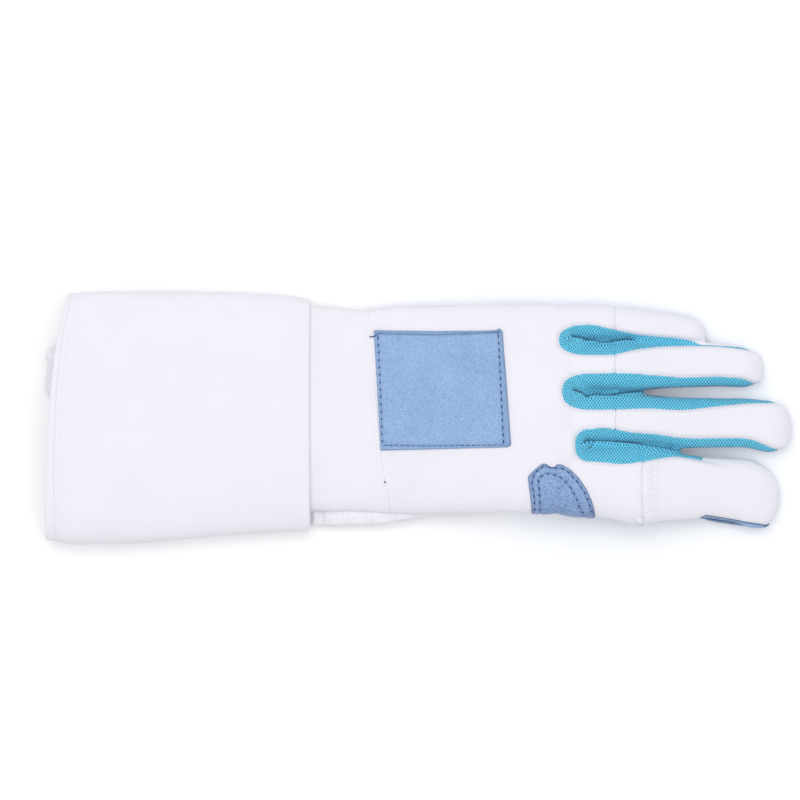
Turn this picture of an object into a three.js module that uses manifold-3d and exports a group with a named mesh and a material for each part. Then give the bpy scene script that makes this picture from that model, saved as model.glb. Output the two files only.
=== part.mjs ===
// A long-cuffed fencing glove for the left hand, lying flat on its palm. Millimetres, +Z up.
// While it is built, x = 0 is the wrist seam, +X runs to the fingertips, +Y to the little finger's side,
// and z = 0 is the surface that the glove lies on. The last lines move the origin to the middle of the
// glove's footprint.
import * as THREE from 'three';
import { mergeVertices } from 'three/addons/utils/BufferGeometryUtils.js';
import Module from 'manifold-3d';

const wasm = await Module();
wasm.setup();

// Hand
const HAND_LENGTH = 105; // wrist seam to the crotches of the fingers
const HAND_HEIGHT = 23;
const WEB_LENGTH = 22; // the hand's rounded end, between the knuckles and the crotches
const WRIST_SKEW = 9.5; // how much further the wrist seam lies at the thumb side
const KNUCKLE_HEIGHT = 20;

// Fingers, each from the line of the crotches to its tip
const LITTLE_LENGTH = 58.5;
const LITTLE_WIDTH = 17.5;
const LITTLE_HEIGHT = 14;
const RING_LENGTH = 87.5;
const RING_WIDTH = 24.5;
const RING_HEIGHT = 15;
const MIDDLE_LENGTH = 101.5;
const MIDDLE_WIDTH = 26;
const MIDDLE_HEIGHT = 15.5;
const INDEX_LENGTH = 95.5;
const INDEX_WIDTH = 35.5;
const INDEX_HEIGHT = 16;
const KNUCKLE_SEAM = 12.5; // crotches to the seam across the little, ring and middle fingers
const INDEX_SEAM = 25.5; // crotches to the seam across the index finger

// Mesh strips between the fingers: how far each one's round end reaches behind the crotches
const LITTLE_RING_REACH = 15.5;
const RING_MIDDLE_REACH = 14;
const MIDDLE_INDEX_REACH = 7.5;

// Thumb, folded under the palm
const THUMB_LENGTH = 86;
const THUMB_WIDTH = 25;
const THUMB_HEIGHT = 12;
const THUMB_START = 44; // wrist seam to the thumb's root
const THUMB_EASE = 0.8; // the palm's height over the thumb

// Walls and gaps
const BACK_WALL = 3; // padded
const PALM_WALL = 1.5;
const SIDE_WALL = 1.8;
const SEAM_GAP = 0.3; // between two pieces that are sewn together
const FINGER_GAP = 0.8;

// Cuff, turned back over the sleeve
const CUFF_LENGTH = 131;
const CUFF_WIDTH = 125;
const CUFF_HEIGHT = 27;
const CUFF_WALL = 2;
const CUFF_FOLD = 3.4; // thickness of the soft fold at the wrist end
const CUFF_OFFSET = -3; // the cuff's middle, from the hand's
const CUFF_SETBACK = 35; // wrist seam to the cuff's fold
const HEM = 6;

// Sleeve and wrist
const SLEEVE_WALL = 1.8;
const SLEEVE_EASE = 1.8; // between the sleeve and the cuff over it, past the fold's thickness
const WRIST_WIDTH = 102;
const WRIST_HEIGHT = 19;
const GUSSET_LENGTH = 86;
const GUSSET_WIDTH = 6.6; // how far the under-layer shows at the thumb side
const GUSSET_THICKNESS = 4;
const TAB_LENGTH = 17;
const TAB_WIDTH = 27;
const TAB_THICKNESS = 2;
const TAB_MIDDLE = 19.5;
const TAB_PROUD = 3.4; // how far the tab shows past the mouth

// Suede on the back
const PATCH_LENGTH = 63;
const PATCH_WIDTH = 59;
const PATCH_THICKNESS = 1.3;
const PATCH_TURN = 3; // degrees
const PATCH_START = -2.5; // wrist seam to the patch
const PATCH_EDGE = 40; // the hand's middle to the patch's side
const ROOT_PATCH_LENGTH = 34.4;
const ROOT_PATCH_WIDTH = 26.8;
const ROOT_PATCH_START = 73.5;
const BINDING_LENGTH = 36;
const BINDING_WIDTH = 2.6;
const BINDING_START = 160;
const BINDING_THICKNESS = 1.6;

// The fingers, from the little finger's side. seam is the crotch line to the knuckle seam. In each row,
// at is a share of the length from the crotch line, and centre, width and height are shares of the
// finger's own sizes.
const FINGERS = [
  {
    name: 'little', length: LITTLE_LENGTH, width: LITTLE_WIDTH, height: LITTLE_HEIGHT, seam: KNUCKLE_SEAM,
    rows: [
      { at: -0.45, centre: 0.03, width: 0.94, height: 1.1 },
      { at: 0, centre: 0, width: 1, height: 1.36 },
      { at: 0.35, centre: -0.034, width: 0.9, height: 1.16 },
      { at: 0.6, centre: -0.11, width: 0.84, height: 1.05 },
      { at: 0.85, centre: -0.2, width: 0.79, height: 1 },
      { at: 1, centre: -0.27, width: 0.74, height: 0.98 },
    ],
  },
  {
    name: 'ring', length: RING_LENGTH, width: RING_WIDTH, height: RING_HEIGHT, seam: KNUCKLE_SEAM,
    rows: [
      { at: -0.3, centre: 0.045, width: 1.06, height: 1.1 },
      { at: 0, centre: 0, width: 1, height: 1.34 },
      { at: 0.3, centre: -0.006, width: 1.05, height: 1.12 },
      { at: 0.45, centre: 0.024, width: 1, height: 1.04 },
      { at: 0.7, centre: 0.024, width: 0.94, height: 1 },
      { at: 0.9, centre: -0.027, width: 0.88, height: 0.97 },
      { at: 1, centre: -0.057, width: 0.84, height: 0.95 },
    ],
  },
  {
    name: 'middle', length: MIDDLE_LENGTH, width: MIDDLE_WIDTH, height: MIDDLE_HEIGHT, seam: KNUCKLE_SEAM,
    rows: [
      { at: -0.25, centre: 0.035, width: 1.02, height: 1.1 },
      { at: 0, centre: 0, width: 1, height: 1.3 },
      { at: 0.25, centre: -0.004, width: 0.97, height: 1.12 },
      { at: 0.5, centre: -0.086, width: 1.03, height: 1.02 },
      { at: 0.75, centre: -0.086, width: 1.01, height: 1 },
      { at: 0.9, centre: -0.165, width: 1.07, height: 0.97 },
      { at: 1, centre: -0.187, width: 1.02, height: 0.94 },
    ],
  },
  {
    name: 'index', length: INDEX_LENGTH, width: INDEX_WIDTH, height: INDEX_HEIGHT, seam: INDEX_SEAM,
    rows: [
      { at: -0.27, centre: 0.048, width: 0.98, height: 1.1 },
      { at: 0, centre: 0.01, width: 1, height: 1.26 },
      { at: 0.25, centre: -0.03, width: 1.1, height: 1.13 },
      { at: 0.42, centre: -0.05, width: 1.01, height: 1.04 },
      { at: 0.7, centre: -0.128, width: 0.9, height: 1 },
      { at: 0.85, centre: -0.17, width: 0.92, height: 0.98 },
      { at: 1, centre: -0.206, width: 0.9, height: 0.95 },
    ],
  },
];

// The mesh strips between the fingers. upper and lower are the strip's share of the width of the finger
// on its +Y and -Y side, by share of that finger's length.
const FOURCHETTES = [
  {
    name: 'little_ring', back: LITTLE_RING_REACH,
    upper: [
      { at: 0, share: 0.43 }, { at: 0.17, share: 0.3 }, { at: 0.34, share: 0.14 }, { at: 0.43, share: 0.09 },
      { at: 0.85, share: 0.07 }, { at: 1, share: 0.03 },
    ],
    lower: [
      { at: 0, share: 0.25 }, { at: 0.114, share: 0.25 }, { at: 0.286, share: 0.14 }, { at: 0.4, share: 0.1 },
      { at: 0.57, share: 0.07 }, { at: 0.91, share: 0.05 }, { at: 1, share: 0.02 },
    ],
  },
  {
    name: 'ring_middle', back: RING_MIDDLE_REACH,
    upper: [
      { at: 0, share: 0.34 }, { at: 0.17, share: 0.378 }, { at: 0.286, share: 0.367 },
      { at: 0.4, share: 0.29 },
      { at: 0.52, share: 0.225 }, { at: 0.86, share: 0.2 }, { at: 1, share: 0.04 },
    ],
    lower: [
      { at: 0, share: 0.317 }, { at: 0.25, share: 0.28 }, { at: 0.44, share: 0.26 },
      { at: 0.64, share: 0.17 },
      { at: 0.84, share: 0.08 }, { at: 1, share: 0.02 },
    ],
  },
  {
    name: 'middle_index', back: MIDDLE_INDEX_REACH,
    upper: [
      { at: 0, share: 0.29 }, { at: 0.05, share: 0.31 }, { at: 0.25, share: 0.19 }, { at: 0.5, share: 0.2 },
      { at: 0.79, share: 0.19 }, { at: 1, share: 0.04 },
    ],
    lower: [
      { at: 0, share: 0.22 }, { at: 0.2, share: 0.27 }, { at: 0.26, share: 0.24 }, { at: 0.37, share: 0.14 },
      { at: 0.47, share: 0.07 }, { at: 0.85, share: 0.05 }, { at: 1, share: 0.02 },
    ],
  },
];

// The hand's outline. at is a share of HAND_LENGTH, little and thumb are the two edges as shares of half
// the knuckles' width, and height is a share of HAND_HEIGHT.
const HAND_ROWS = [
  { at: 0, little: 0.955, thumb: -0.975, height: 0.82 },
  { at: 0.1, little: 0.985, thumb: -0.97, height: 0.9 },
  { at: 0.3, little: 0.995, thumb: -0.965, height: 1 },
  { at: 0.6, little: 1.005, thumb: -0.955, height: 1.02 },
  { at: 0.8, little: 1.005, thumb: -0.955, height: 0.98 },
  { at: 1, little: 1, thumb: -0.97, height: 0.92 },
];

// What the glove lies over, because the thumb is folded under it. at is a share of the length from the
// wrist seam to the middle fingertip, across a share of half the knuckles' width, and lift is a share of
// the thumb's height.
const BED_ALONG = [
  { at: -0.2, lift: 0 }, { at: 0, lift: 0.2 }, { at: 0.15, lift: 0.48 }, { at: 0.28, lift: 0.8 },
  { at: 0.38, lift: 1 }, { at: 0.6, lift: 1 }, { at: 0.72, lift: 0.62 },
  { at: 0.88, lift: 0.08 }, { at: 0.94, lift: 0 },
];
const BED_ACROSS = [{ across: -0.4, lift: 1 }, { across: 0.1, lift: 0.7 }, { across: 0.9, lift: 0.25 }];

// The thumb. at is a share of THUMB_LENGTH, side a share of half the knuckles' width, and width, height
// and lift are shares of the thumb's own width and height.
const THUMB_ROWS = [
  { at: 0, side: -0.7, width: 1, height: 0.9, lift: 0.7 },
  { at: 0.09, side: -0.7, width: 1.03, height: 0.95, lift: 0.42 },
  { at: 0.18, side: -0.69, width: 1.06, height: 0.98, lift: 0.14 },
  { at: 0.3, side: -0.67, width: 1.05, height: 1, lift: 0.02 },
  { at: 0.45, side: -0.64, width: 1.02, height: 1, lift: 0 },
  { at: 0.7, side: -0.57, width: 0.98, height: 1, lift: 0 },
  { at: 1, side: -0.5, width: 0.86, height: 0.95, lift: 0 },
];

// The cuff's outline. at is a share of CUFF_LENGTH from the mouth, and little, thumb and height are
// shares of half of CUFF_WIDTH and of CUFF_HEIGHT.
const CUFF_ROWS = [
  { at: 0, little: 0.99, thumb: -0.985, height: 0.92 },
  { at: 0.12, little: 1.005, thumb: -1.022, height: 0.98 },
  { at: 0.35, little: 1.01, thumb: -1.01, height: 1 },
  { at: 0.7, little: 1, thumb: -0.95, height: 0.98 },
  { at: 0.92, little: 0.975, thumb: -0.925, height: 0.92 },
  { at: 1, little: 0.95, thumb: -0.92, height: 0.88 },
];

// The sleeve between the wrist seam and the cuff's fold. at is a share of CUFF_SETBACK from the seam.
const WRIST_ROWS = [
  { at: 0, little: 0.985, thumb: -1.01, height: 1 },
  { at: 0.3, little: 1, thumb: -1.01, height: 1 },
  { at: 0.6, little: 1.02, thumb: -1.01, height: 1 },
  { at: 1, little: 1.02, thumb: -1.02, height: 1 },
];

// The under-layer at the wrist. at is a share of GUSSET_LENGTH from the cuff's fold, proud a share of
// GUSSET_WIDTH.
const GUSSET_ROWS = [
  { at: 0, proud: 0.6 }, { at: 0.05, proud: 0.98 }, { at: 0.44, proud: 0.88 }, { at: 0.67, proud: 0.55 },
  { at: 0.82, proud: 0.15 }, { at: 1, proud: 0 },
];

// How far the mouth's edge is set back, by share of half the cuff's width.
const MOUTH_ROWS = [
  { across: -1, back: 0 }, { across: -0.5, back: 0.4 }, { across: 0.1, back: 2.4 }, { across: 0.6, back: 6 },
  { across: 1, back: 11 },
];

// The outline of the suede patch at the root of the index finger: shares of its length, and of its width
// in from the hand's edge.
const ROOT_PATCH_ROWS = [
  { at: 0.05, inward: 0.1 }, { at: 0, inward: 0.635 }, { at: 0.025, inward: 0.78 }, { at: 0.2, inward: 1 },
  { at: 0.36, inward: 0.94 }, { at: 0.456, inward: 0.993 }, { at: 0.567, inward: 0.94 },
  { at: 0.776, inward: 0.67 }, { at: 0.9, inward: 0.386 }, { at: 1, inward: 0 },
];

// Shapes of sections
const HAND_SQUARENESS = 2.5;
const FINGER_SQUARENESS = 2.25;
const CUFF_SQUARENESS = 3;
const FLATTENED = 0.07; // share of a section's height that its own weight flattens
const SEAM_RISE = 0.3; // the side seam's height, as a share of the section's
const SIDES = { hand: 26, finger: 14, thumb: 14, cuff: 36, gusset: 10 };
const FAR = 400; // past every edge of the glove

const MATERIALS = {
  fabric: new THREE.MeshStandardMaterial({ color: 0xf1f1f8, roughness: 0.9, metalness: 0 }),
  suede: new THREE.MeshStandardMaterial({ color: 0x87a9d6, roughness: 0.95, metalness: 0 }),
  knit: new THREE.MeshStandardMaterial({ color: 0x2fa6cf, roughness: 0.85, metalness: 0 }),
};

const knucklesWidth = FINGERS.reduce((sum, f) => sum + f.width, 0) + FINGER_GAP * (FINGERS.length - 1);
const halfWidth = knucklesWidth / 2;
const longest = HAND_LENGTH + Math.max(...FINGERS.map((f) => f.length));
const archHeight = THUMB_HEIGHT + THUMB_EASE;
const cuffEnd = -CUFF_SETBACK;
const mouthX = cuffEnd - CUFF_LENGTH;
const hemDepth = CUFF_WALL + SLEEVE_EASE + SLEEVE_WALL;

FINGERS.reduce((edge, f) => {
  f.root = edge - f.width / 2;
  return edge - f.width - FINGER_GAP;
}, halfWidth);

// A smooth value between the rows of a table: a cubic through them that never overshoots.
function follow(rows, key, column, v) {
  const last = rows.length - 1;
  if (v <= rows[0][key]) return rows[0][column];
  if (v >= rows[last][key]) return rows[last][column];
  const i = rows.findIndex((r, k) => k < last && v <= rows[k + 1][key]);
  const slope = (k) => (rows[k + 1][column] - rows[k][column]) / (rows[k + 1][key] - rows[k][key]);
  const tangent = (k) => {
    if (k === 0 || k === last) return 0;
    const a = slope(k - 1);
    const b = slope(k);
    return a * b <= 0 ? 0 : (2 * a * b) / (a + b);
  };
  const span = rows[i + 1][key] - rows[i][key];
  const t = (v - rows[i][key]) / span;
  const p = rows[i][column];
  const q = rows[i + 1][column];
  const rise = span * (tangent(i) * t * (1 - t) ** 2 - tangent(i + 1) * t * t * (1 - t));
  return p + (q - p) * t * t * (3 - 2 * t) + rise;
}

// The height of the glove's underside over the surface.
function bed(x, y) {
  const along = follow(BED_ALONG, 'at', 'lift', x / longest);
  return archHeight * along * follow(BED_ACROSS, 'across', 'lift', y / halfWidth);
}

function superellipse(angle, squareness) {
  const bend = (v) => Math.sign(v) * Math.abs(v) ** (2 / squareness);
  return [bend(Math.cos(angle)), bend(Math.sin(angle))];
}

const NO_INSET = { side: 0, top: 0, bottom: 0, tip: 0 };
const grown = (by) => ({ side: -by, top: -by, bottom: -by, tip: -by });

// The points round one section of a tube that lies on the bed. lift raises it off the bed, and skew(y)
// shifts a point along x.
function section(s, inset, sides, squareness) {
  const half = s.half - inset.side * s.scale;
  const height = s.height - (inset.top + inset.bottom) * s.scale;
  return Array.from({ length: sides }, (_, i) => {
    const [across, up] = superellipse((2 * Math.PI * (i + 0.5)) / sides, squareness);
    const y = s.centre + half * across;
    const share = Math.max(0, ((1 + up) / 2 - FLATTENED) / (1 - FLATTENED));
    const z = (s.onBed ? bed(s.x, y) : 0) + s.lift + inset.bottom * s.scale + height * share;
    return new THREE.Vector3(s.x + (s.skew ? s.skew(y) : 0), y, z);
  });
}

// A closed mesh over rings of points, as a solid. A loop's last ring joins its first, and otherwise both
// ends close.
function solidOfRings(rings, loop = false) {
  const n = rings[0].length;
  const points = rings.flat();
  const index = [];
  const bands = loop ? rings.length : rings.length - 1;
  for (let r = 0; r < bands; r++) {
    const a = r * n;
    const b = ((r + 1) % rings.length) * n;
    for (let i = 0; i < n; i++) {
      const j = (i + 1) % n;
      index.push(a + i, b + i, b + j, a + i, b + j, a + j);
    }
  }
  if (!loop) {
    for (const [ring, flip] of [[0, true], [rings.length - 1, false]]) {
      const middle = rings[ring].reduce((sum, p) => sum.add(p), new THREE.Vector3()).divideScalar(n);
      const hub = points.push(middle) - 1;
      for (let i = 0; i < n; i++) {
        const [p, q] = [ring * n + i, ring * n + ((i + 1) % n)];
        index.push(...(flip ? [hub, p, q] : [hub, q, p]));
      }
    }
  }
  return solidOfGeometry(new THREE.BufferGeometry().setFromPoints(points).setIndex(index));
}

// A closed mesh as a manifold-3d solid, whichever way its faces point.
function solidOfGeometry(geometry) {
  geometry.deleteAttribute('normal');
  geometry.deleteAttribute('uv');
  const merged = mergeVertices(geometry, 1e-4);
  const vertProperties = merged.attributes.position.array;
  const triVerts = new Uint32Array(merged.index.array);
  const made = new wasm.Manifold(new wasm.Mesh({ numProp: 3, vertProperties, triVerts }));
  if (made.volume() >= 0) return made;
  return new wasm.Manifold(new wasm.Mesh({ numProp: 3, vertProperties, triVerts: triVerts.reverse() }));
}

const join = (solids) => solids.reduce((a, b) => a.add(b));

// An upright prism over an outline of [x, y] points.
function prism(outline, low = -FAR, high = FAR) {
  const shape = new THREE.Shape(outline.map(([x, y]) => new THREE.Vector2(x, y)));
  const geometry = new THREE.ExtrudeGeometry(shape, { depth: high - low, bevelEnabled: false });
  return solidOfGeometry(geometry.translate(0, 0, low));
}

// Everything under a surface z = height(x, y).
function under(height, lowX, highX, stepX, stepY) {
  const nx = Math.ceil((highX - lowX) / stepX);
  const ny = Math.ceil((2 * halfWidth * 1.6) / stepY);
  const rings = [];
  for (let i = 0; i <= nx; i++) {
    const x = lowX + ((highX - lowX) * i) / nx;
    const top = Array.from({ length: ny + 1 }, (_, j) => {
      const y = halfWidth * 1.6 * ((2 * j) / ny - 1);
      return new THREE.Vector3(x, y, height(x, y));
    });
    const bottom = [1, -1].map((side) => new THREE.Vector3(x, side * halfWidth * 1.6, -FAR));
    rings.push([...top, ...bottom]);
  }
  return solidOfRings(rings);
}

// The largest body, without the crumbs that a cut can leave.
function mainBody(solid) {
  return solid.decompose().sort((a, b) => b.volume() - a.volume())[0];
}

function spaced(low, high, step) {
  const n = Math.max(1, Math.round((high - low) / step));
  return Array.from({ length: n + 1 }, (_, i) => low + ((high - low) * i) / n);
}

// The stations of a round end from x to x + length, with the share of the full section that is left at each.
function roundEnd(x, length, roundness, steps = 4) {
  return Array.from({ length: steps }, (_, i) => {
    const turn = ((Math.PI / 2) * (i + 1)) / (steps + 0.35);
    return { x: x + length * Math.sin(turn), scale: Math.cos(turn) ** (2 / roundness) };
  });
}

function wristSkew(x, y) {
  const fade = Math.max(0, 1 - Math.abs(x) / (CUFF_SETBACK * 0.9));
  return (-0.12 - y / (2 * halfWidth)) * WRIST_SKEW * fade;
}

// Hand and fingers

function handSection(x, scale = 1) {
  const at = x / HAND_LENGTH;
  const little = halfWidth * follow(HAND_ROWS, 'at', 'little', at);
  const thumb = halfWidth * follow(HAND_ROWS, 'at', 'thumb', at);
  const height = HAND_HEIGHT * follow(HAND_ROWS, 'at', 'height', at);
  return {
    x, centre: (little + thumb) / 2, half: ((little - thumb) / 2) * (0.6 + 0.4 * scale),
    height: height * scale,
    lift: (height * (1 - scale)) / 2, scale, onBed: true, skew: (y) => wristSkew(x, y),
  };
}

function handSolid(inset, openEnd) {
  const end = HAND_LENGTH - inset.tip;
  const start = end - WEB_LENGTH;
  const straight = spaced(0, start, 12).map((x) => handSection(x));
  if (openEnd) straight.unshift({ ...handSection(0), x: -WRIST_SKEW });
  const rounded = roundEnd(start, WEB_LENGTH, 2.2).map((e) => handSection(e.x, e.scale));
  return solidOfRings([...straight, ...rounded].map((s) => section(s, inset, SIDES.hand, HAND_SQUARENESS)));
}

function fingerSection(f, x, scale = 1) {
  const at = (x - HAND_LENGTH) / f.length;
  const height = f.height * follow(f.rows, 'at', 'height', at);
  return {
    x, centre: f.root + f.width * follow(f.rows, 'at', 'centre', at),
    half: (f.width * follow(f.rows, 'at', 'width', at) * scale) / 2, height: height * scale,
    lift: (height * (1 - scale)) / 3, scale, onBed: true,
  };
}

function fingerSolid(f, inset) {
  const start = HAND_LENGTH + f.length * f.rows[0].at;
  const tip = HAND_LENGTH + f.length - inset.tip;
  const blunt = f.width * 0.5;
  const straight = spaced(start, tip - blunt, 12).map((x) => fingerSection(f, x));
  const rounded = roundEnd(tip - blunt, blunt, 2.6).map((e) => fingerSection(f, e.x, e.scale));
  const sections = [...straight, ...rounded];
  return solidOfRings(sections.map((s) => section(s, inset, SIDES.finger, FINGER_SQUARENESS)));
}

function gloveSolid(inset, openEnd = false) {
  return join([handSolid(inset, openEnd), ...FINGERS.map((f) => fingerSolid(f, inset))]);
}

// The glove's hand and fingers with their outside moved out.
const glovePlus = (by) => gloveSolid(grown(by), true);

// The two edges of a finger seen from above.
function fingerEdge(f, x, side) {
  const s = fingerSection(f, Math.min(x, HAND_LENGTH + f.length));
  return s.centre + side * s.half;
}

// The line where finger i and the next one meet.
function crease(i, x) {
  if (i < 0) return FAR;
  if (i >= FINGERS.length - 1) return -FAR;
  return (fingerEdge(FINGERS[i], x, -1) + fingerEdge(FINGERS[i + 1], x, 1)) / 2;
}

const creaseStations = spaced(HAND_LENGTH, longest + FINGER_GAP, 9);

// The narrow gap between two fingers.
function slit(i) {
  const edge = (side) => creaseStations.map((x) => [x, crease(i, x) + (side * FINGER_GAP) / 2]);
  return prism([...edge(-1), ...edge(1).reverse()]);
}

// Past the knuckle seam, between the two lines where finger i meets its neighbours.
function fingerBand(i, grow) {
  const start = HAND_LENGTH + FINGERS[i].seam - grow;
  const stations = [start, ...creaseStations.filter((x) => x > start + 1)];
  const upper = stations.map((x) => [x, crease(i - 1, x)]);
  const lower = stations.map((x) => [x, crease(i, x)]);
  return prism([...lower, ...upper.reverse()]);
}

// The plan outline of a mesh strip.
function fourchetteOutline(i, grow) {
  const strip = FOURCHETTES[i];
  const [above, below] = [FINGERS[i], FINGERS[i + 1]];
  const edge = (f, rows, side) => (x) => {
    const inward = f.width * follow(rows, 'at', 'share', (x - HAND_LENGTH) / f.length) + grow;
    return [x, fingerEdge(f, x, side) - side * inward];
  };
  const upper = edge(above, strip.upper, -1);
  const lower = edge(below, strip.lower, 1);
  const stationsOf = (f) => spaced(HAND_LENGTH, HAND_LENGTH + f.length * 0.97 + grow, 9);
  const [, top] = upper(HAND_LENGTH);
  const [, bottom] = lower(HAND_LENGTH);
  const end = Array.from({ length: 7 }, (_, k) => {
    const [back, across] = superellipse(Math.PI * (0.5 + (k + 1) / 8), 2.5);
    return [HAND_LENGTH + back * (strip.back + grow), (top + bottom) / 2 + (across * (top - bottom)) / 2];
  });
  const tipOf = (f) => [HAND_LENGTH + f.length * 0.985 + grow, crease(i, HAND_LENGTH + f.length)];
  return [
    tipOf(above), ...stationsOf(above).map(upper).reverse(), ...end,
    ...stationsOf(below).map(lower), tipOf(below),
  ];
}

function seamHeight(x, y) {
  return bed(x, y) + SEAM_RISE * follow([
    { at: 0, height: WRIST_HEIGHT }, { at: HAND_LENGTH * 0.3, height: HAND_HEIGHT },
    { at: HAND_LENGTH, height: KNUCKLE_HEIGHT }, { at: longest, height: FINGERS[2].height },
  ], 'at', 'height', x);
}

// Thumb

function thumbSection(x, scale = 1) {
  const at = (x - THUMB_START) / THUMB_LENGTH;
  const column = (name) => follow(THUMB_ROWS, 'at', name, at);
  const height = THUMB_HEIGHT * column('height');
  return {
    x, centre: halfWidth * column('side'), half: (THUMB_WIDTH * column('width') * scale) / 2,
    height: height * scale, lift: THUMB_HEIGHT * column('lift') + (height * (1 - scale)) / 3,
    scale, onBed: false,
  };
}

function thumbSolid(inset) {
  const tip = THUMB_START + THUMB_LENGTH - inset.tip;
  const blunt = THUMB_WIDTH * 0.5;
  const straight = spaced(THUMB_START, tip - blunt, 7).map((x) => thumbSection(x));
  const rounded = roundEnd(tip - blunt, blunt, 2.4).map((e) => thumbSection(e.x, e.scale));
  const sections = [...straight, ...rounded];
  return solidOfRings(sections.map((s) => section(s, inset, SIDES.thumb, FINGER_SQUARENESS)));
}

// Cuff, sleeve and what is on them

function mouthSkew(x, y) {
  const across = (y - CUFF_OFFSET) / (CUFF_WIDTH / 2);
  const fade = Math.max(0, 1 - (x - mouthX) / (CUFF_LENGTH * 0.8));
  return follow(MOUTH_ROWS, 'across', 'back', across) * fade;
}

function cuffSection(x) {
  const at = (x - mouthX) / CUFF_LENGTH;
  const little = (CUFF_WIDTH / 2) * follow(CUFF_ROWS, 'at', 'little', at);
  const thumb = (CUFF_WIDTH / 2) * follow(CUFF_ROWS, 'at', 'thumb', at);
  return {
    x, centre: CUFF_OFFSET + (little + thumb) / 2, half: (little - thumb) / 2,
    height: CUFF_HEIGHT * follow(CUFF_ROWS, 'at', 'height', at), lift: 0, scale: 1, onBed: false,
    skew: (y) => mouthSkew(x, y),
  };
}

function cuffRing(x, depth) {
  return section(cuffSection(x), { side: depth, top: depth, bottom: depth }, SIDES.cuff, CUFF_SQUARENESS);
}

// The cuff's wall as a loop of rings: out along the outside, round the soft fold, back along the inside
// and round the hem, which is turned in over the sleeve's end.
function cuffSolid() {
  const round = CUFF_FOLD / 2;
  const along = spaced(mouthX + HEM + SEAM_GAP, cuffEnd - 2 * round, 20);
  const fold = Array.from({ length: 4 }, (_, i) => {
    const turn = (Math.PI * (i + 0.5)) / 4;
    return [cuffEnd - round + round * Math.sin(turn), round - round * Math.cos(turn)];
  });
  const loop = [
    [mouthX, hemDepth * 0.25], [mouthX + 1, 0], ...along.map((x) => [x, 0]), ...fold,
    [cuffEnd - 2 * round, CUFF_FOLD], [cuffEnd - 3 * round, CUFF_WALL],
    ...along.slice(0, -1).reverse().map((x) => [x, CUFF_WALL]),
    [mouthX + HEM, hemDepth], [mouthX + 1, hemDepth], [mouthX, hemDepth * 0.75],
  ];
  return solidOfRings(loop.map(([x, depth]) => cuffRing(x, depth)), true);
}

// The sleeve's section: inside the cuff it follows the cuff, and past the fold it narrows to the wrist.
function sleeveSection(x) {
  const inside = cuffSection(Math.min(x, cuffEnd));
  const depth = CUFF_WALL + SLEEVE_EASE;
  const covered = { ...inside, half: inside.half - depth, height: inside.height - 2 * depth, lift: depth };
  const at = Math.min(1, -x / CUFF_SETBACK);
  const little = (WRIST_WIDTH / 2) * follow(WRIST_ROWS, 'at', 'little', at);
  const thumb = (WRIST_WIDTH / 2) * follow(WRIST_ROWS, 'at', 'thumb', at);
  const wrist = {
    centre: (little + thumb) / 2, half: (little - thumb) / 2,
    height: WRIST_HEIGHT * follow(WRIST_ROWS, 'at', 'height', at), lift: 0,
  };
  const inCuff = THREE.MathUtils.smoothstep(-x, CUFF_SETBACK * 0.5, CUFF_SETBACK);
  const mix = (key) => THREE.MathUtils.lerp(wrist[key], covered[key], inCuff);
  return {
    x, centre: mix('centre'), half: mix('half'), height: mix('height'), lift: mix('lift'),
    scale: 1, onBed: true,
    skew: (y) => mouthSkew(x, y) + wristSkew(x, y),
  };
}

function sleeveRing(x, depth) {
  return section(sleeveSection(x), { side: depth, top: depth, bottom: depth }, SIDES.hand, HAND_SQUARENESS);
}

function sleeveSolid() {
  const along = [...spaced(mouthX + HEM + 2 * SEAM_GAP, cuffEnd, 20), ...spaced(cuffEnd + 6, -SEAM_GAP, 7)];
  const inner = along.map((x) => sleeveRing(x, SLEEVE_WALL)).reverse();
  return solidOfRings([...along.map((x) => sleeveRing(x, 0)), ...inner], true);
}

// The hand's edge at the thumb side, from the cuff's fold on.
function thumbEdge(x) {
  const s = x < 0 ? sleeveSection(x) : handSection(x);
  return s.centre - s.half;
}

// The under-layer at the thumb side of the wrist, as a strip that the glove's own sides are cut out of.
function gussetSolid() {
  const rings = spaced(0, 1, 0.08).map((at) => {
    const x = cuffEnd + SEAM_GAP + at * GUSSET_LENGTH;
    const shown = GUSSET_WIDTH * follow(GUSSET_ROWS, 'at', 'proud', at);
    const half = (shown + GUSSET_WIDTH) / 2;
    const centre = thumbEdge(x) - shown + half;
    return section(
      { x, centre, half, height: GUSSET_THICKNESS, lift: PALM_WALL, scale: 1, onBed: true },
      NO_INSET, SIDES.gusset, CUFF_SQUARENESS,
    );
  });
  return solidOfRings(rings);
}

// The end of the under-layer that shows past the hem, on the sleeve's lower side.
function tabSolid() {
  const corner = 4;
  const shape = new THREE.Shape();
  const low = mouthX + mouthSkew(mouthX, TAB_MIDDLE) - TAB_PROUD;
  const [y0, y1] = [TAB_MIDDLE - TAB_WIDTH / 2, TAB_MIDDLE + TAB_WIDTH / 2];
  shape.moveTo(low + TAB_LENGTH, y0);
  shape.lineTo(low + TAB_LENGTH, y1);
  shape.lineTo(low + corner + TAB_PROUD / 2, y1);
  shape.quadraticCurveTo(low + TAB_PROUD / 2, y1, low + TAB_PROUD / 2, y1 - corner);
  shape.lineTo(low, y0 + corner);
  shape.quadraticCurveTo(low, y0, low + corner, y0);
  const extrusion = { depth: TAB_THICKNESS, bevelEnabled: false, curveSegments: 5 };
  const geometry = new THREE.ExtrudeGeometry(shape, extrusion);
  return solidOfGeometry(geometry.translate(0, 0, hemDepth + SEAM_GAP));
}

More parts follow.
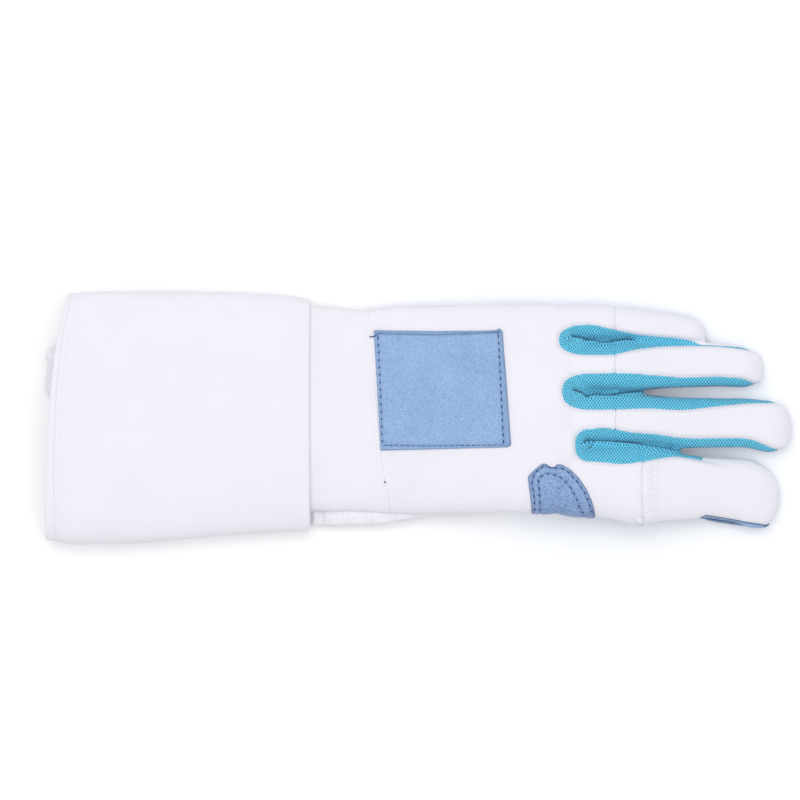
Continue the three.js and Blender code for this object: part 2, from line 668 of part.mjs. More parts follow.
// The plan outlines of the suede on the back.
function backPatchOutline() {
  const turn = THREE.MathUtils.degToRad(PATCH_TURN);
  const corners = [[0, 1], [1, 1], [1.03, 0.02], [-0.01, 0]];
  return corners.map(([u, v]) => [
    PATCH_START + PATCH_LENGTH * u + PATCH_WIDTH * (1 - v) * Math.sin(turn),
    PATCH_EDGE - PATCH_WIDTH * (1 - v),
  ]);
}

function rootPatchOutline() {
  const xOf = (r) => ROOT_PATCH_START + ROOT_PATCH_LENGTH * r.at;
  const top = ROOT_PATCH_ROWS.map((r) => [xOf(r), -halfWidth + ROOT_PATCH_WIDTH * r.inward]);
  const [first, last] = [ROOT_PATCH_ROWS[0], ROOT_PATCH_ROWS[ROOT_PATCH_ROWS.length - 1]];
  return [[xOf(first), -halfWidth * 1.4], ...top, [xOf(last), -halfWidth * 1.4]];
}

function bindingOutline() {
  const f = FINGERS[FINGERS.length - 1];
  const stations = spaced(BINDING_START, BINDING_START + BINDING_LENGTH, 6);
  const share = (x) => Math.sin((Math.PI * (x - BINDING_START)) / BINDING_LENGTH) ** 0.6;
  const inner = stations.map((x) => [x, fingerEdge(f, x, -1) + BINDING_WIDTH * (0.35 + 0.65 * share(x))]);
  return [...inner, [stations[stations.length - 1], -FAR / 2], [stations[0], -FAR / 2]];
}

// A layer that lies on the glove, inside a plan outline.
function layer(outline, thickness, low) {
  const ground = glovePlus(SEAM_GAP);
  return glovePlus(SEAM_GAP + thickness).subtract(ground).intersect(prism(outline)).subtract(low);
}

// Pieces

const pieces = [];
function piece(name, material, solid) {
  pieces.push({ name, material, solid: mainBody(solid.simplify(0.1)) });
}

const walls = { side: SIDE_WALL, top: BACK_WALL, bottom: PALM_WALL, tip: SIDE_WALL };
const thumbWalls = { side: PALM_WALL, top: PALM_WALL, bottom: PALM_WALL, tip: PALM_WALL };
const outside = gloveSolid(NO_INSET);
const thumbHollow = thumbSolid(thumbWalls);
const slits = join([0, 1, 2].map(slit));
const shell = outside.subtract(gloveSolid(walls, true)).subtract(slits);

const seamSpan = [-2 * WRIST_SKEW, longest + 2];
const underSeam = (offset) => under((x, y) => seamHeight(x, y) + offset, ...seamSpan, 13, 14);
const palmTop = underSeam(-SEAM_GAP / 2);
const backBottom = underSeam(SEAM_GAP / 2);
const strips = [0, 1, 2].map((i) => fourchetteOutline(i, 0));
const stripsGrown = join([0, 1, 2].map((i) => prism(fourchetteOutline(i, SEAM_GAP))));

const back = shell.subtract(backBottom);
const white = back.subtract(stripsGrown);
piece('hand_back', 'fabric', white.subtract(join(FINGERS.map((_, i) => fingerBand(i, SEAM_GAP)))));
FINGERS.forEach((f, i) => piece(`finger_back_${f.name}`, 'fabric', white.intersect(fingerBand(i, 0))));
FOURCHETTES.forEach((s, i) => piece(`fourchette_${s.name}`, 'knit', back.intersect(prism(strips[i]))));
piece('palm', 'suede', shell.intersect(palmTop).subtract(thumbHollow));

const thumbSpan = [THUMB_START - 10, THUMB_START + THUMB_LENGTH + 4];
const underPalm = under((x, y) => bed(x, y) - SEAM_GAP, ...thumbSpan, 12, 12);
const thumb = thumbSolid(NO_INSET).subtract(thumbHollow).intersect(underPalm);
const halfThumb = (offset) => under((x) => seamOfThumb(x) + offset, ...thumbSpan, 7, 60);
function seamOfThumb(x) {
  const s = thumbSection(x);
  return s.lift + s.height / 2;
}
piece('thumb_back', 'fabric', thumb.intersect(halfThumb(-SEAM_GAP / 2)));
piece('thumb_front', 'suede', thumb.subtract(halfThumb(SEAM_GAP / 2)));

piece('index_root_patch', 'suede', layer(rootPatchOutline(), PATCH_THICKNESS, underSeam(1)));
piece('index_edge_binding', 'suede', layer(bindingOutline(), BINDING_THICKNESS, underSeam(1)));
piece('back_patch', 'suede', layer(backPatchOutline(), PATCH_THICKNESS, underSeam(HAND_HEIGHT * 0.4)));

const sleeveRoom = solidOfRings([...spaced(cuffEnd - 4, 0, 4)].map((x) => sleeveRing(x, -SEAM_GAP)));
piece('wrist_gusset', 'fabric', gussetSolid().subtract(glovePlus(SEAM_GAP)).subtract(sleeveRoom));
piece('cuff', 'fabric', cuffSolid());
piece('sleeve', 'fabric', sleeveSolid());
piece('mouth_tab', 'fabric', tabSolid());

// Bring the origin to the middle of the footprint, and make one named mesh for each piece.
const glove = new THREE.Group();
const whole = new THREE.Box3();
for (const { name, material, solid } of pieces) {
  const mesh = solid.getMesh();
  const geometry = new THREE.BufferGeometry();
  geometry.setAttribute('position', new THREE.BufferAttribute(mesh.vertProperties, 3));
  geometry.setIndex(new THREE.BufferAttribute(mesh.triVerts, 1));
  geometry.computeBoundingBox();
  whole.union(geometry.boundingBox);
  const made = new THREE.Mesh(geometry, MATERIALS[material]);
  made.name = name;
  glove.add(made);
}
const middle = whole.getCenter(new THREE.Vector3());
glove.position.set(-middle.x, -middle.y, -whole.min.z);

export default glove;
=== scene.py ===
# The looks of a long-cuffed fencing glove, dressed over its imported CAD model. Lengths are millimetres in
# the part's own construction frame: x = 0 is the wrist seam, with +x to the fingertips, y = 0 is the middle
# of the hand, with +y to the little finger, and z = 0 is the surface below. new_object moves each piece to
# the row frame, in metres.
import math

import bpy
import numpy as np
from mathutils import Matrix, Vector
from mathutils.bvhtree import BVHTree


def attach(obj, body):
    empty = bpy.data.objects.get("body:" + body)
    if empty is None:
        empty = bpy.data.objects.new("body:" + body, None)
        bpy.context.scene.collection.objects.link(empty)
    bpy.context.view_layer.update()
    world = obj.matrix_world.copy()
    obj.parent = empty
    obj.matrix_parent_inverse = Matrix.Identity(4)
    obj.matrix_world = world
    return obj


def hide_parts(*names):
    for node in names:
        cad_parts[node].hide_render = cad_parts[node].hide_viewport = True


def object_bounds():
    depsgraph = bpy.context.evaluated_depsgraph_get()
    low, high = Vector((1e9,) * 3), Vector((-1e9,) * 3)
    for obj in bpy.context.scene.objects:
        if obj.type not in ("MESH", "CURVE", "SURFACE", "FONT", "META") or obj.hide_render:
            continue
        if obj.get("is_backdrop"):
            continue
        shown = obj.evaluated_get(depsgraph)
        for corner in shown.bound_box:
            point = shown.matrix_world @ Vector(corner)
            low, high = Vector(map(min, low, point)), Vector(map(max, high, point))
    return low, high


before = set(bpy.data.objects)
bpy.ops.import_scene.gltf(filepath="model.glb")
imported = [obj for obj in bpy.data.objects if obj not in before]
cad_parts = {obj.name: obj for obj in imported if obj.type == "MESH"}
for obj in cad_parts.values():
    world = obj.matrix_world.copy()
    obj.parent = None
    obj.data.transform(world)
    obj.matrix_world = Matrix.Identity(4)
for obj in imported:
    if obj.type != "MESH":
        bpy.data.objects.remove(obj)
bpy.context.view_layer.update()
scene = bpy.context.scene

# Sizes, as in the part's source
MM = 1000  # in a metre
NOUGHT = 1e-12  # keeps a division from a length of nought
SHIFT = np.array([-20.2, 3.312, 0.0])  # from the construction frame to the row frame
HAND_LENGTH = 105
HAND_HEIGHT = 23
WEB_LENGTH = 22
WRIST_SKEW = 9.5
KNUCKLE_HEIGHT = 20
THUMB_LENGTH = 86
THUMB_WIDTH = 25
THUMB_HEIGHT = 12
THUMB_START = 44  # from the wrist seam to its root
THUMB_EASE = 0.8
FINGER_GAP = 0.8
CUFF_LENGTH = 131
CUFF_WIDTH = 125
CUFF_HEIGHT = 27
CUFF_WALL = 2
CUFF_FOLD = 3.4
CUFF_OFFSET = -3
CUFF_SETBACK = 35
HEM = 6
SLEEVE_WALL = 1.8
SLEEVE_EASE = 1.8
WRIST_WIDTH = 102
WRIST_HEIGHT = 19
SEAM_RISE = 0.3  # the side seam's height, as a share of the section's
FLATTENED = 0.07  # the share of a section's height that lies flat below
HAND_SQUARE = 2.5  # how squared off a section is, where 2 is an ellipse
FINGER_SQUARE = 2.25
CUFF_SQUARE = 3

# Each finger's length is from the crotches, seam is where its white panel starts, and at, c, w and h are a
# table of its middle, width and height, in shares of the length, width and height.
FINGERS = [
    dict(name="little", length=58.5, width=17.5, height=14, seam=12.5,
         at=[-0.45, 0, 0.35, 0.6, 0.85, 1], c=[0.03, 0, -0.034, -0.11, -0.2, -0.27],
         w=[0.94, 1, 0.9, 0.84, 0.79, 0.74], h=[1.1, 1.36, 1.16, 1.05, 1, 0.98]),
    dict(name="ring", length=87.5, width=24.5, height=15, seam=12.5,
         at=[-0.3, 0, 0.3, 0.45, 0.7, 0.9, 1], c=[0.045, 0, -0.006, 0.024, 0.024, -0.027, -0.057],
         w=[1.06, 1, 1.05, 1, 0.94, 0.88, 0.84], h=[1.1, 1.34, 1.12, 1.04, 1, 0.97, 0.95]),
    dict(name="middle", length=101.5, width=26, height=15.5, seam=12.5,
         at=[-0.25, 0, 0.25, 0.5, 0.75, 0.9, 1], c=[0.035, 0, -0.004, -0.086, -0.086, -0.165, -0.187],
         w=[1.02, 1, 0.97, 1.03, 1.01, 1.07, 1.02], h=[1.1, 1.3, 1.12, 1.02, 1, 0.97, 0.94]),
    dict(name="index", length=95.5, width=35.5, height=16, seam=25.5,
         at=[-0.27, 0, 0.25, 0.42, 0.7, 0.85, 1], c=[0.048, 0.01, -0.03, -0.05, -0.128, -0.17, -0.206],
         w=[0.98, 1, 1.1, 1.01, 0.9, 0.92, 0.9], h=[1.1, 1.26, 1.13, 1.04, 1, 0.98, 0.95]),
]
# Each knitted strip's reach behind the crotches, and how far its upper side (ua, us) and its lower side
# (la, ls) reach over their fingers, in shares of the finger's length and width.
STRIPS = [
    dict(name="little_ring", back=15.5,
         ua=[0, 0.17, 0.34, 0.43, 0.85, 1], us=[0.43, 0.3, 0.14, 0.09, 0.07, 0.03],
         la=[0, 0.114, 0.286, 0.4, 0.57, 0.91, 1], ls=[0.25, 0.25, 0.14, 0.1, 0.07, 0.05, 0.02]),
    dict(name="ring_middle", back=14,
         ua=[0, 0.17, 0.286, 0.4, 0.52, 0.86, 1], us=[0.34, 0.378, 0.367, 0.29, 0.225, 0.2, 0.04],
         la=[0, 0.25, 0.44, 0.64, 0.84, 1], ls=[0.317, 0.28, 0.26, 0.17, 0.08, 0.02]),
    dict(name="middle_index", back=7.5,
         ua=[0, 0.05, 0.25, 0.5, 0.79, 1], us=[0.29, 0.31, 0.19, 0.2, 0.19, 0.04],
         la=[0, 0.2, 0.26, 0.37, 0.47, 0.85, 1], ls=[0.22, 0.27, 0.24, 0.14, 0.07, 0.05, 0.02]),
]
HALF = (sum(f["width"] for f in FINGERS) + 3 * FINGER_GAP) / 2
LONGEST = HAND_LENGTH + max(f["length"] for f in FINGERS)
ARCH = THUMB_HEIGHT + THUMB_EASE
CUFF_END = -CUFF_SETBACK
MOUTH = CUFF_END - CUFF_LENGTH - 1.5
side_edge = HALF
for f in FINGERS:
    f["root"] = side_edge - f["width"] / 2
    side_edge -= f["width"] + FINGER_GAP


def follow(keys, values, v):
    """A cubic through a table's rows that never overshoots, at every v."""
    k, p, v = np.asarray(keys, float), np.asarray(values, float), np.clip(v, keys[0], keys[-1])
    s = np.diff(p) / np.diff(k)
    t = np.zeros(len(k))
    a, b = s[:-1], s[1:]
    t[1:-1] = np.where(a * b <= 0, 0, 2 * a * b / np.where(a + b == 0, 1, a + b))
    i = np.clip(np.searchsorted(k, v, "right") - 1, 0, len(k) - 2)
    d = k[i + 1] - k[i]
    u = (v - k[i]) / d
    rise = d * (t[i] * u * (1 - u) ** 2 - t[i + 1] * u * u * (1 - u))
    return p[i] + (p[i + 1] - p[i]) * u * u * (3 - 2 * u) + rise


def value_at(keys, values, at):
    """One value between the keys of a table."""
    return float(follow(keys, values, at))


def bed(x, y):
    """The height of the arch that the thumb makes under the hand."""
    stations = [-0.2, 0, 0.15, 0.28, 0.38, 0.6, 0.72, 0.88, 0.94]
    along = follow(stations, [0, 0.2, 0.48, 0.8, 1, 1, 0.62, 0.08, 0], x / LONGEST)
    return ARCH * along * follow([-0.4, 0.1, 0.9], [1, 0.7, 0.25], y / HALF)


def bend(v, square):
    """A sine or cosine, squared off for a rounded section."""
    return np.sign(v) * np.abs(v) ** (2 / square)


def smooth(v, low, high):
    """0 before low, 1 after high, or the other way round, with a soft step between."""
    t = np.clip((v - low) / (high - low), 0, 1)
    return t * t * (3 - 2 * t)


def near(d, width):
    """A bell: 1 where d is nought, and gone at about twice the width."""
    return np.exp(-((d / width) ** 2))


def ring(s, sides, square, depth=0.0):
    """The points round one section of a tube."""
    a = 2 * np.pi * (np.arange(sides) + 0.5) / sides
    y = s["c"] + (s["half"] - depth) * bend(np.cos(a), square)
    height = s["h"] - 2 * depth
    share = np.maximum(0, ((1 + bend(np.sin(a), square)) / 2 - FLATTENED) / (1 - FLATTENED))
    x = np.full_like(y, s["x"]) + (s["skew"](s["x"], y) if "skew" in s else 0)
    z = (bed(s["x"], y) if s.get("bed", True) else 0) + s.get("lift", 0) + depth + height * share
    return np.stack([x, y, z], 1)


def tube(rings, loop=False):
    """Points and faces over rings of points. Both ends close with a fan, or a loop joins its ends."""
    n, m = len(rings[0]), len(rings)
    co = np.concatenate(rings)
    i = np.arange(n)
    j = (i + 1) % n
    quads = [np.stack([r * n + i, r * n + j, (r + 1) % m * n + j, (r + 1) % m * n + i], 1)
             for r in range(m if loop else m - 1)]
    faces = [tuple(q) for q in np.concatenate(quads).tolist()]
    if not loop:
        co = np.concatenate([co, [rings[0].mean(0), rings[-1].mean(0)]])
        hub = m * n
        faces += [(hub, int(b), int(a)) for a, b in zip(i, j)]
        faces += [(hub + 1, (m - 1) * n + int(a), (m - 1) * n + int(b)) for a, b in zip(i, j)]
    return co, faces


def wrist_skew(x, y):
    """How far the wrist's seam and what is near it lie along x, since the seam is aslant."""
    run = (-0.12 - y / (2 * HALF)) * WRIST_SKEW + 2.0 * smooth(-np.asarray(y), 28, 48)
    return run * np.maximum(0, 1 - np.abs(x) / (CUFF_SETBACK * 0.9))


def hand_section(x, scale=1.0):
    """The hand's section at x, as in the part's source. A scale below 1 rounds off its end."""
    at = x / HAND_LENGTH
    keys = [0, 0.1, 0.3, 0.6, 0.8, 1]
    little = HALF * value_at(keys, [0.955, 0.985, 0.995, 1.005, 1.005, 1], at)
    thumb = HALF * value_at(keys, [-0.975, -0.97, -0.965, -0.955, -0.955, -0.97], at)
    h = HAND_HEIGHT * value_at(keys, [0.82, 0.9, 1, 1.02, 0.98, 0.92], at)
    return dict(x=x, c=(little + thumb) / 2, half=(little - thumb) / 2 * (0.6 + 0.4 * scale), h=h * scale,
                lift=h * (1 - scale) / 2, skew=wrist_skew)


def finger_section(f, x, scale=1.0):
    """A finger's section at x. A scale below 1 rounds off its tip."""
    at = (x - HAND_LENGTH) / f["length"]
    h = f["height"] * value_at(f["at"], f["h"], at)
    return dict(x=x, c=f["root"] + f["width"] * value_at(f["at"], f["c"], at),
                half=f["width"] * value_at(f["at"], f["w"], at) * scale / 2, h=h * scale,
                lift=h * (1 - scale) / 3)


def finger_edge(f, x, side):
    """Where a finger's side is, at x: side is 1 towards the little finger and -1 towards the thumb."""
    at = np.minimum((np.asarray(x, float) - HAND_LENGTH) / f["length"], 1)
    c = f["root"] + f["width"] * follow(f["at"], f["c"], at)
    return c + side * f["width"] * follow(f["at"], f["w"], at) / 2


def crease(i, x):
    """The line between finger i and the next. Past the outer fingers it is far away."""
    far = 400.0
    if i < 0:
        return np.full(np.shape(x), far)
    if i > 2:
        return np.full(np.shape(x), -far)
    return (finger_edge(FINGERS[i], x, -1) + finger_edge(FINGERS[i + 1], x, 1)) / 2


def round_end(x, length, roundness, steps):
    """Stations and scales over a rounded end that starts at x."""
    turn = np.pi / 2 * (np.arange(steps) + 1) / (steps + 0.2)
    return [(x + length * math.sin(t), math.cos(t) ** (2 / roundness)) for t in turn]


def seam_height(x, y):
    """The height of the seam between the white back and the suede palm."""
    heights = follow([0, HAND_LENGTH * 0.3, HAND_LENGTH, LONGEST],
                     [WRIST_HEIGHT, HAND_HEIGHT, KNUCKLE_HEIGHT, FINGERS[2]["height"]], x)
    return bed(x, y) + SEAM_RISE * heights


# Meshes
def new_object(name, co, faces):
    """A smooth mesh object from points in the construction frame."""
    mesh = bpy.data.meshes.new(name)
    mesh.from_pydata(((np.asarray(co) + SHIFT) / MM).tolist(), [], [tuple(face) for face in faces])
    mesh.validate()
    mesh.shade_smooth()
    made = bpy.data.objects.new(name, mesh)
    scene.collection.objects.link(made)
    return made


def points_of(obj):
    """An object's points, back in the construction frame."""
    co = np.zeros(len(obj.data.vertices) * 3)
    obj.data.vertices.foreach_get("co", co)
    return co.reshape(-1, 3) * MM - SHIFT


def paint(obj, name, values):
    """A value or a vector at each point, for the materials to read."""
    kind, field = ("FLOAT", "value") if values.ndim == 1 else ("FLOAT_VECTOR", "vector")
    obj.data.attributes.new(name, kind, "POINT").data.foreach_set(field, values.astype(np.float32).ravel())


def evaluated_mesh(obj):
    """The object's mesh with its modifiers applied."""
    return bpy.data.meshes.new_from_object(obj.evaluated_get(bpy.context.evaluated_depsgraph_get()))


def as_triangles(faces):
    """A tube's quads and triangles, all as triangles."""
    return np.array([t for f in faces for t in ([f[:3]] if len(f) == 3 else [f[:3], (f[0], f[2], f[3])])])


def tree_of(co, tris):
    """What surface() casts its rays at."""
    return BVHTree.FromPolygons(co.tolist(), tris.tolist())


def normals_of(co, tris):
    """Unit normals at the points, weighted by area."""
    n = np.cross(co[tris[:, 1]] - co[tris[:, 0]], co[tris[:, 2]] - co[tris[:, 0]])
    out = np.zeros_like(co)
    for k in range(3):
        np.add.at(out, tris[:, k], n)
    return out / np.maximum(np.linalg.norm(out, axis=1), 1e-9)[:, None]


def triangles_of(mesh):
    """The mesh's triangles as rows of point numbers."""
    mesh.calc_loop_triangles()
    tris = np.zeros(len(mesh.loop_triangles) * 3, np.int32)
    mesh.loop_triangles.foreach_get("vertices", tris)
    return tris.reshape(-1, 3)


def union_skin(parts, voxel, rounds):
    """One closed skin over several overlapping tubes, as (points, triangles)."""
    faces = []
    base = 0
    for points, part_faces in parts:
        faces += [tuple(v + base for v in face) for face in part_faces]
        base += len(points)
    whole = new_object("skin", np.concatenate([points for points, _ in parts]), faces)
    remesh = whole.modifiers.new("remesh", "REMESH")
    remesh.mode = "VOXEL"
    remesh.voxel_size = voxel / MM
    remesh.adaptivity = 0
    relax = whole.modifiers.new("relax", "SMOOTH")
    relax.factor = 0.5
    relax.iterations = rounds
    mesh = evaluated_mesh(whole)
    whole.modifiers.clear()
    whole.data = mesh
    co, tris = points_of(whole), triangles_of(mesh)
    bpy.data.objects.remove(whole)
    return co, tris


def clip(co, tris, f, extra=()):
    """The part of a triangle mesh where f is positive, cut along f = 0. extra are more values per point."""
    inside = f > 0
    count = inside[tris].sum(1)

    def turned(t, odd):
        k = np.argmax(odd, axis=1)
        rows = np.arange(len(t))
        return np.stack([t[rows, (k + i) % 3] for i in range(3)], 1)

    one = turned(tris[count == 1], inside[tris[count == 1]])
    two = turned(tris[count == 2], ~inside[tris[count == 2]])
    cuts = np.concatenate([one[:, [0, 1]], one[:, [0, 2]], two[:, [0, 1]], two[:, [0, 2]]])
    keys, where = np.unique(np.sort(cuts, 1), axis=0, return_inverse=True)
    where = where.reshape(-1) + len(co)
    a, b = f[keys[:, 0]], f[keys[:, 1]]
    t = (a / (a - b))[:, None]
    co2 = np.concatenate([co, co[keys[:, 0]] * (1 - t) + co[keys[:, 1]] * t])
    more = [np.concatenate([e, e[keys[:, 0]] * (1 - t) + e[keys[:, 1]] * t]) for e in extra]
    n1, n2 = len(one), len(two)
    p, q, r, s = where[:n1], where[n1:2 * n1], where[2 * n1:2 * n1 + n2], where[2 * n1 + n2:]
    new = np.concatenate([
        tris[count == 3], np.stack([one[:, 0], p, q], 1),
        np.stack([two[:, 1], two[:, 2], s], 1), np.stack([two[:, 1], s, r], 1)])
    used, tight = np.unique(new, return_inverse=True)
    return [co2[used], tight.reshape(-1, 3)] + [m[used] for m in more]


def outline_distance(outline, xy):
    """The distance of each point to a closed outline, positive inside it."""
    a = np.asarray(outline, float)
    b = np.roll(a, -1, 0)
    best, _ = line_distance(np.concatenate([a, a[:1]]), xy)
    crossings = np.zeros(len(xy), int)
    for (x0, y0), (x1, y1) in zip(a, b):
        over = (y0 > xy[:, 1]) != (y1 > xy[:, 1])
        rise = y1 - y0 if abs(y1 - y0) > NOUGHT else NOUGHT
        crossings += over & (xy[:, 0] < x0 + (xy[:, 1] - y0) * (x1 - x0) / rise)
    return np.where(crossings % 2 == 1, best, -best)


def line_distance(path, xy):
    """The distance of each point to an open path, and how far along the path that is."""
    a = np.asarray(path, float)
    ab = np.diff(a, axis=0)
    length = np.linalg.norm(ab, axis=1)
    start = np.concatenate([[0], np.cumsum(length)])
    best = np.full(len(xy), np.inf)
    along = np.zeros(len(xy))
    for i in range(len(ab)):
        t = np.clip(((xy - a[i]) @ ab[i]) / max(length[i] ** 2, NOUGHT), 0, 1)
        d = np.linalg.norm(xy - a[i] - t[:, None] * ab[i], axis=1)
        closer = d < best
        best = np.where(closer, d, best)
        along = np.where(closer, start[i] + t * length[i], along)
    return best, along


def waves(co, seed, lengths, amount):
    """Soft uneven ground: a sum of slow waves in many directions."""
    rng = np.random.default_rng(seed)
    out = np.zeros(len(co))
    for wavelength in lengths:
        for _ in range(5):
            d = rng.normal(size=3)
            d /= np.linalg.norm(d)
            out += np.sin(co @ d * (2 * np.pi / wavelength) + rng.uniform(0, 6.28)) * wavelength / lengths[0]
    return amount * out / (5 * len(lengths)) ** 0.5


SIDE_POINTS = 40  # of a strip's outline
END_STEPS = 24
TURN = SIDE_POINTS + END_STEPS // 2  # the outline's point in the middle of the strip's round end


def strip_outline(i):
    """The plan of a knitted strip: out along one finger, round the crotch and out along the next."""
    strip, above, below = STRIPS[i], FINGERS[i], FINGERS[i + 1]

    def edge_at(f, keys, shares, side):
        x = np.linspace(HAND_LENGTH, HAND_LENGTH + f["length"] * 0.97, SIDE_POINTS)
        inward = f["width"] * follow(keys, shares, (x - HAND_LENGTH) / f["length"])
        return np.stack([x, finger_edge(f, x, side) - side * inward], 1)

    def tip(f):
        return [[HAND_LENGTH + f["length"] * 0.985, float(crease(i, HAND_LENGTH + f["length"]))]]

    upper = edge_at(above, strip["ua"], strip["us"], -1)
    lower = edge_at(below, strip["la"], strip["ls"], 1)
    top, bottom = upper[0, 1], lower[0, 1]
    a = np.pi * (0.5 + np.arange(1, END_STEPS) / END_STEPS)
    end = np.stack([HAND_LENGTH + bend(np.cos(a), 2.5) * strip["back"],
                    (top + bottom) / 2 + bend(np.sin(a), 2.5) * (top - bottom) / 2], 1)

    return np.concatenate([tip(above), upper[::-1], end, lower, tip(below)])


# The skin of the hand and fingers
VOXEL = 0.85
SMOOTHINGS = 6


def hand_tube():
    start = HAND_LENGTH - WEB_LENGTH
    stations = [(x, 1.0) for x in np.arange(-12, start, 2.0)] + round_end(start, WEB_LENGTH, 2.2, 14)
    return tube([ring(hand_section(x, s), 180, HAND_SQUARE) for x, s in stations])


def finger_tube(f):
    """A finger, whose root is a little smaller so that it leaves no step in the hand."""
    start = HAND_LENGTH + f["length"] * f["at"][0]
    blunt = f["width"] * 0.5
    tip = HAND_LENGTH + f["length"]
    stations = [(x, 0.86 + 0.14 * float(smooth(x, start, start + 18)))
                for x in np.arange(start, tip - blunt, 2.0)]
    stations += round_end(tip - blunt, blunt, 2.6, 16)
    return tube([ring(finger_section(f, x, s), 90, FINGER_SQUARE) for x, s in stations])


skin, skin_tris = union_skin([hand_tube()] + [finger_tube(f) for f in FINGERS], VOXEL, SMOOTHINGS)
skin_n = normals_of(skin, skin_tris)
if (skin_n[:, 2] * (skin[:, 2] - skin[:, 2].mean())).sum() < 0:
    skin_tris = skin_tris[:, ::-1]
    skin_n = -skin_n

# The index finger is narrower before its tip, whose low corner is full, and two of the gaps taper to a point.
x, y, z = skin.T.copy()
skin[:, 1] += 1.3 * near(x - 166, 12) * smooth(-y, 40, 52)
skin[:, 1] -= 1.5 * near(x - 187, 5) * smooth(-y, 46, 55) + 2.2 * near(x - 193, 3.5) * smooth(-y, 48, 54)
for i, gap, taper in ((1, 137.5, 6), (2, 154.5, 4.5)):
    around = smooth(x, gap - 17, gap) * smooth(x, gap + 12, gap + 1)
    skin[:, 0] -= taper * near(y - crease(i, x), 1.4) * around
skin_n = normals_of(skin, skin_tris)

x, y, z = skin.T
outlines = [strip_outline(i) for i in range(3)]
strip_in = [outline_distance(o, skin[:, :2]) for o in outlines]
strip_in[2] = np.where(y < crease(2, x), np.minimum(strip_in[2], 0.15 * (161.5 - x)), strip_in[2])
above = z - seam_height(x, y)
# Towards its tip, the seam along the index finger turns in, so that the palm's suede shows.
TURNED_X = [158, 161, 163, 175.5, 183, 190, 193.5, 196]
TURNED_Y = [-57, -53.6, -52.5, -54.5, -55.9, -56.9, -57.4, -61]
turned = (x > TURNED_X[0]) & (x < TURNED_X[-1]) & (y < FINGERS[3]["root"] - 8)
above = np.where(turned, np.minimum(above, y - np.interp(x, TURNED_X, TURNED_Y)), above)
strip = np.maximum.reduce([np.minimum(s, above) for s in strip_in])
bands = [np.minimum.reduce([x - HAND_LENGTH - f["seam"], crease(i - 1, x) - y, y - crease(i, x)])
         for i, f in enumerate(FINGERS)]
fingers = np.maximum.reduce(bands)
wrist = x - wrist_skew(0.0, y)

# Low relief: seams draw in, the padded back swells beside them, and the knitted strips lie lower.
top = smooth(skin_n[:, 2], -0.1, 0.5)
lift = waves(skin, 3, [46, 24, 13], 0.22) * smooth(above, 0, 6)
lift += 0.5 * near(np.abs(strip) - 3.2, 2.0) * (strip < 0) * (above > 0)
lift -= 0.9 * near(strip, 1.1) * (above > 0)
lift -= 0.9 * smooth(strip, 0, 2.0)
lift -= 0.65 * near(above, 1.0) * smooth(wrist, 2, 8)
for i, (f, depth) in enumerate(zip(FINGERS, (0.45, 0.45, 0.45, 0.7))):
    here = smooth(np.minimum(crease(i - 1, x) - y, y - crease(i, x)), -0.5, 0.5)
    lift -= depth * near(x - HAND_LENGTH - f["seam"], 0.9) * here * top
skin = skin + skin_n * lift[:, None]
skin_n = normals_of(skin, skin_tris)
skin_tree = tree_of(skin, skin_tris)


def surface(tree, x, y, low=False):
    """The point and normal of a surface over a point of the plan, or seen from below, or None."""
    start, way = ((x, y, -50), (0, 0, 1)) if low else ((x, y, 90), (0, 0, -1))
    hit, normal, _, _ = tree.ray_cast(Vector(start), Vector(way))
    return None if hit is None else (hit, normal)


# Materials
class Output:
    """A node's output. Sums and products of outputs and numbers become Math nodes."""

    def __init__(self, socket):
        self.socket = socket

    def maths(self, operation, *others):
        made = self.socket.id_data.nodes.new("ShaderNodeMath")
        made.operation = operation
        for value, socket in zip((self, *others), made.inputs):
            feed(value, socket)
        return Output(made.outputs[0])

    def __add__(self, other):
        return self.maths("ADD", other)

    def __sub__(self, other):
        return self.maths("SUBTRACT", other)

    def __mul__(self, other):
        return self.maths("MULTIPLY", other)


def feed(value, socket):
    """A number or colour is set on the socket itself, and an output is linked to it."""
    if isinstance(value, Output):
        socket.id_data.links.new(value.socket, socket)
    else:
        socket.default_value = value


class Recipe:
    """A material in the making. Each keyword is a socket of the shader, with _ for a space."""

    def __init__(self, name, **settings):
        self.material = bpy.data.materials.new(name)
        self.material.use_nodes = True
        self.tree = self.material.node_tree
        self.shader = self.tree.nodes["Principled BSDF"]
        for key, value in settings.items():
            self.shader.inputs[key.replace("_", " ")].default_value = value

    def add(self, kind, **values):
        made = self.tree.nodes.new("ShaderNode" + kind)
        for key, value in values.items():
            feed(value, made.inputs[key.replace("_", " ")])
        return made

    def place(self):
        """Where on the piece a point is, in metres."""
        return Output(self.add("TexCoord").outputs["Object"])

    def split(self, vector):
        return [Output(part) for part in self.add("SeparateXYZ", Vector=vector).outputs]

    def noise(self, scale, detail=3.0):
        return Output(self.add("TexNoise", Scale=scale, Detail=detail, Vector=self.place()).outputs["Fac"])

    def attribute(self, name, output="Fac"):
        made = self.add("Attribute")
        made.attribute_name = name
        return Output(made.outputs[output])

    def ramp(self, value, low, high):
        """0 below low, 1 above high, and even between."""
        return Output(self.add("MapRange", Value=value, From_Min=low, From_Max=high).outputs["Result"])

    def mix(self, factor, a, b, kind="RGBA"):
        made = self.add("Mix")
        made.data_type = kind
        feed(factor, made.inputs["Factor"])
        ends = [socket for socket in made.inputs if socket.type == kind and socket.name in ("A", "B")]
        for value, socket in zip((a, b), ends):
            feed(value, socket)
        return Output([socket for socket in made.outputs if socket.type == kind][0])

    def finish(self, colour, height, strength, distance):
        """The colour goes on, the height makes the bump, and the material is done."""
        feed(colour, self.shader.inputs["Base Color"])
        bump = self.add("Bump", Height=height, Strength=strength, Distance=distance)
        feed(Output(bump.outputs["Normal"]), self.shader.inputs["Normal"])
        return self.material


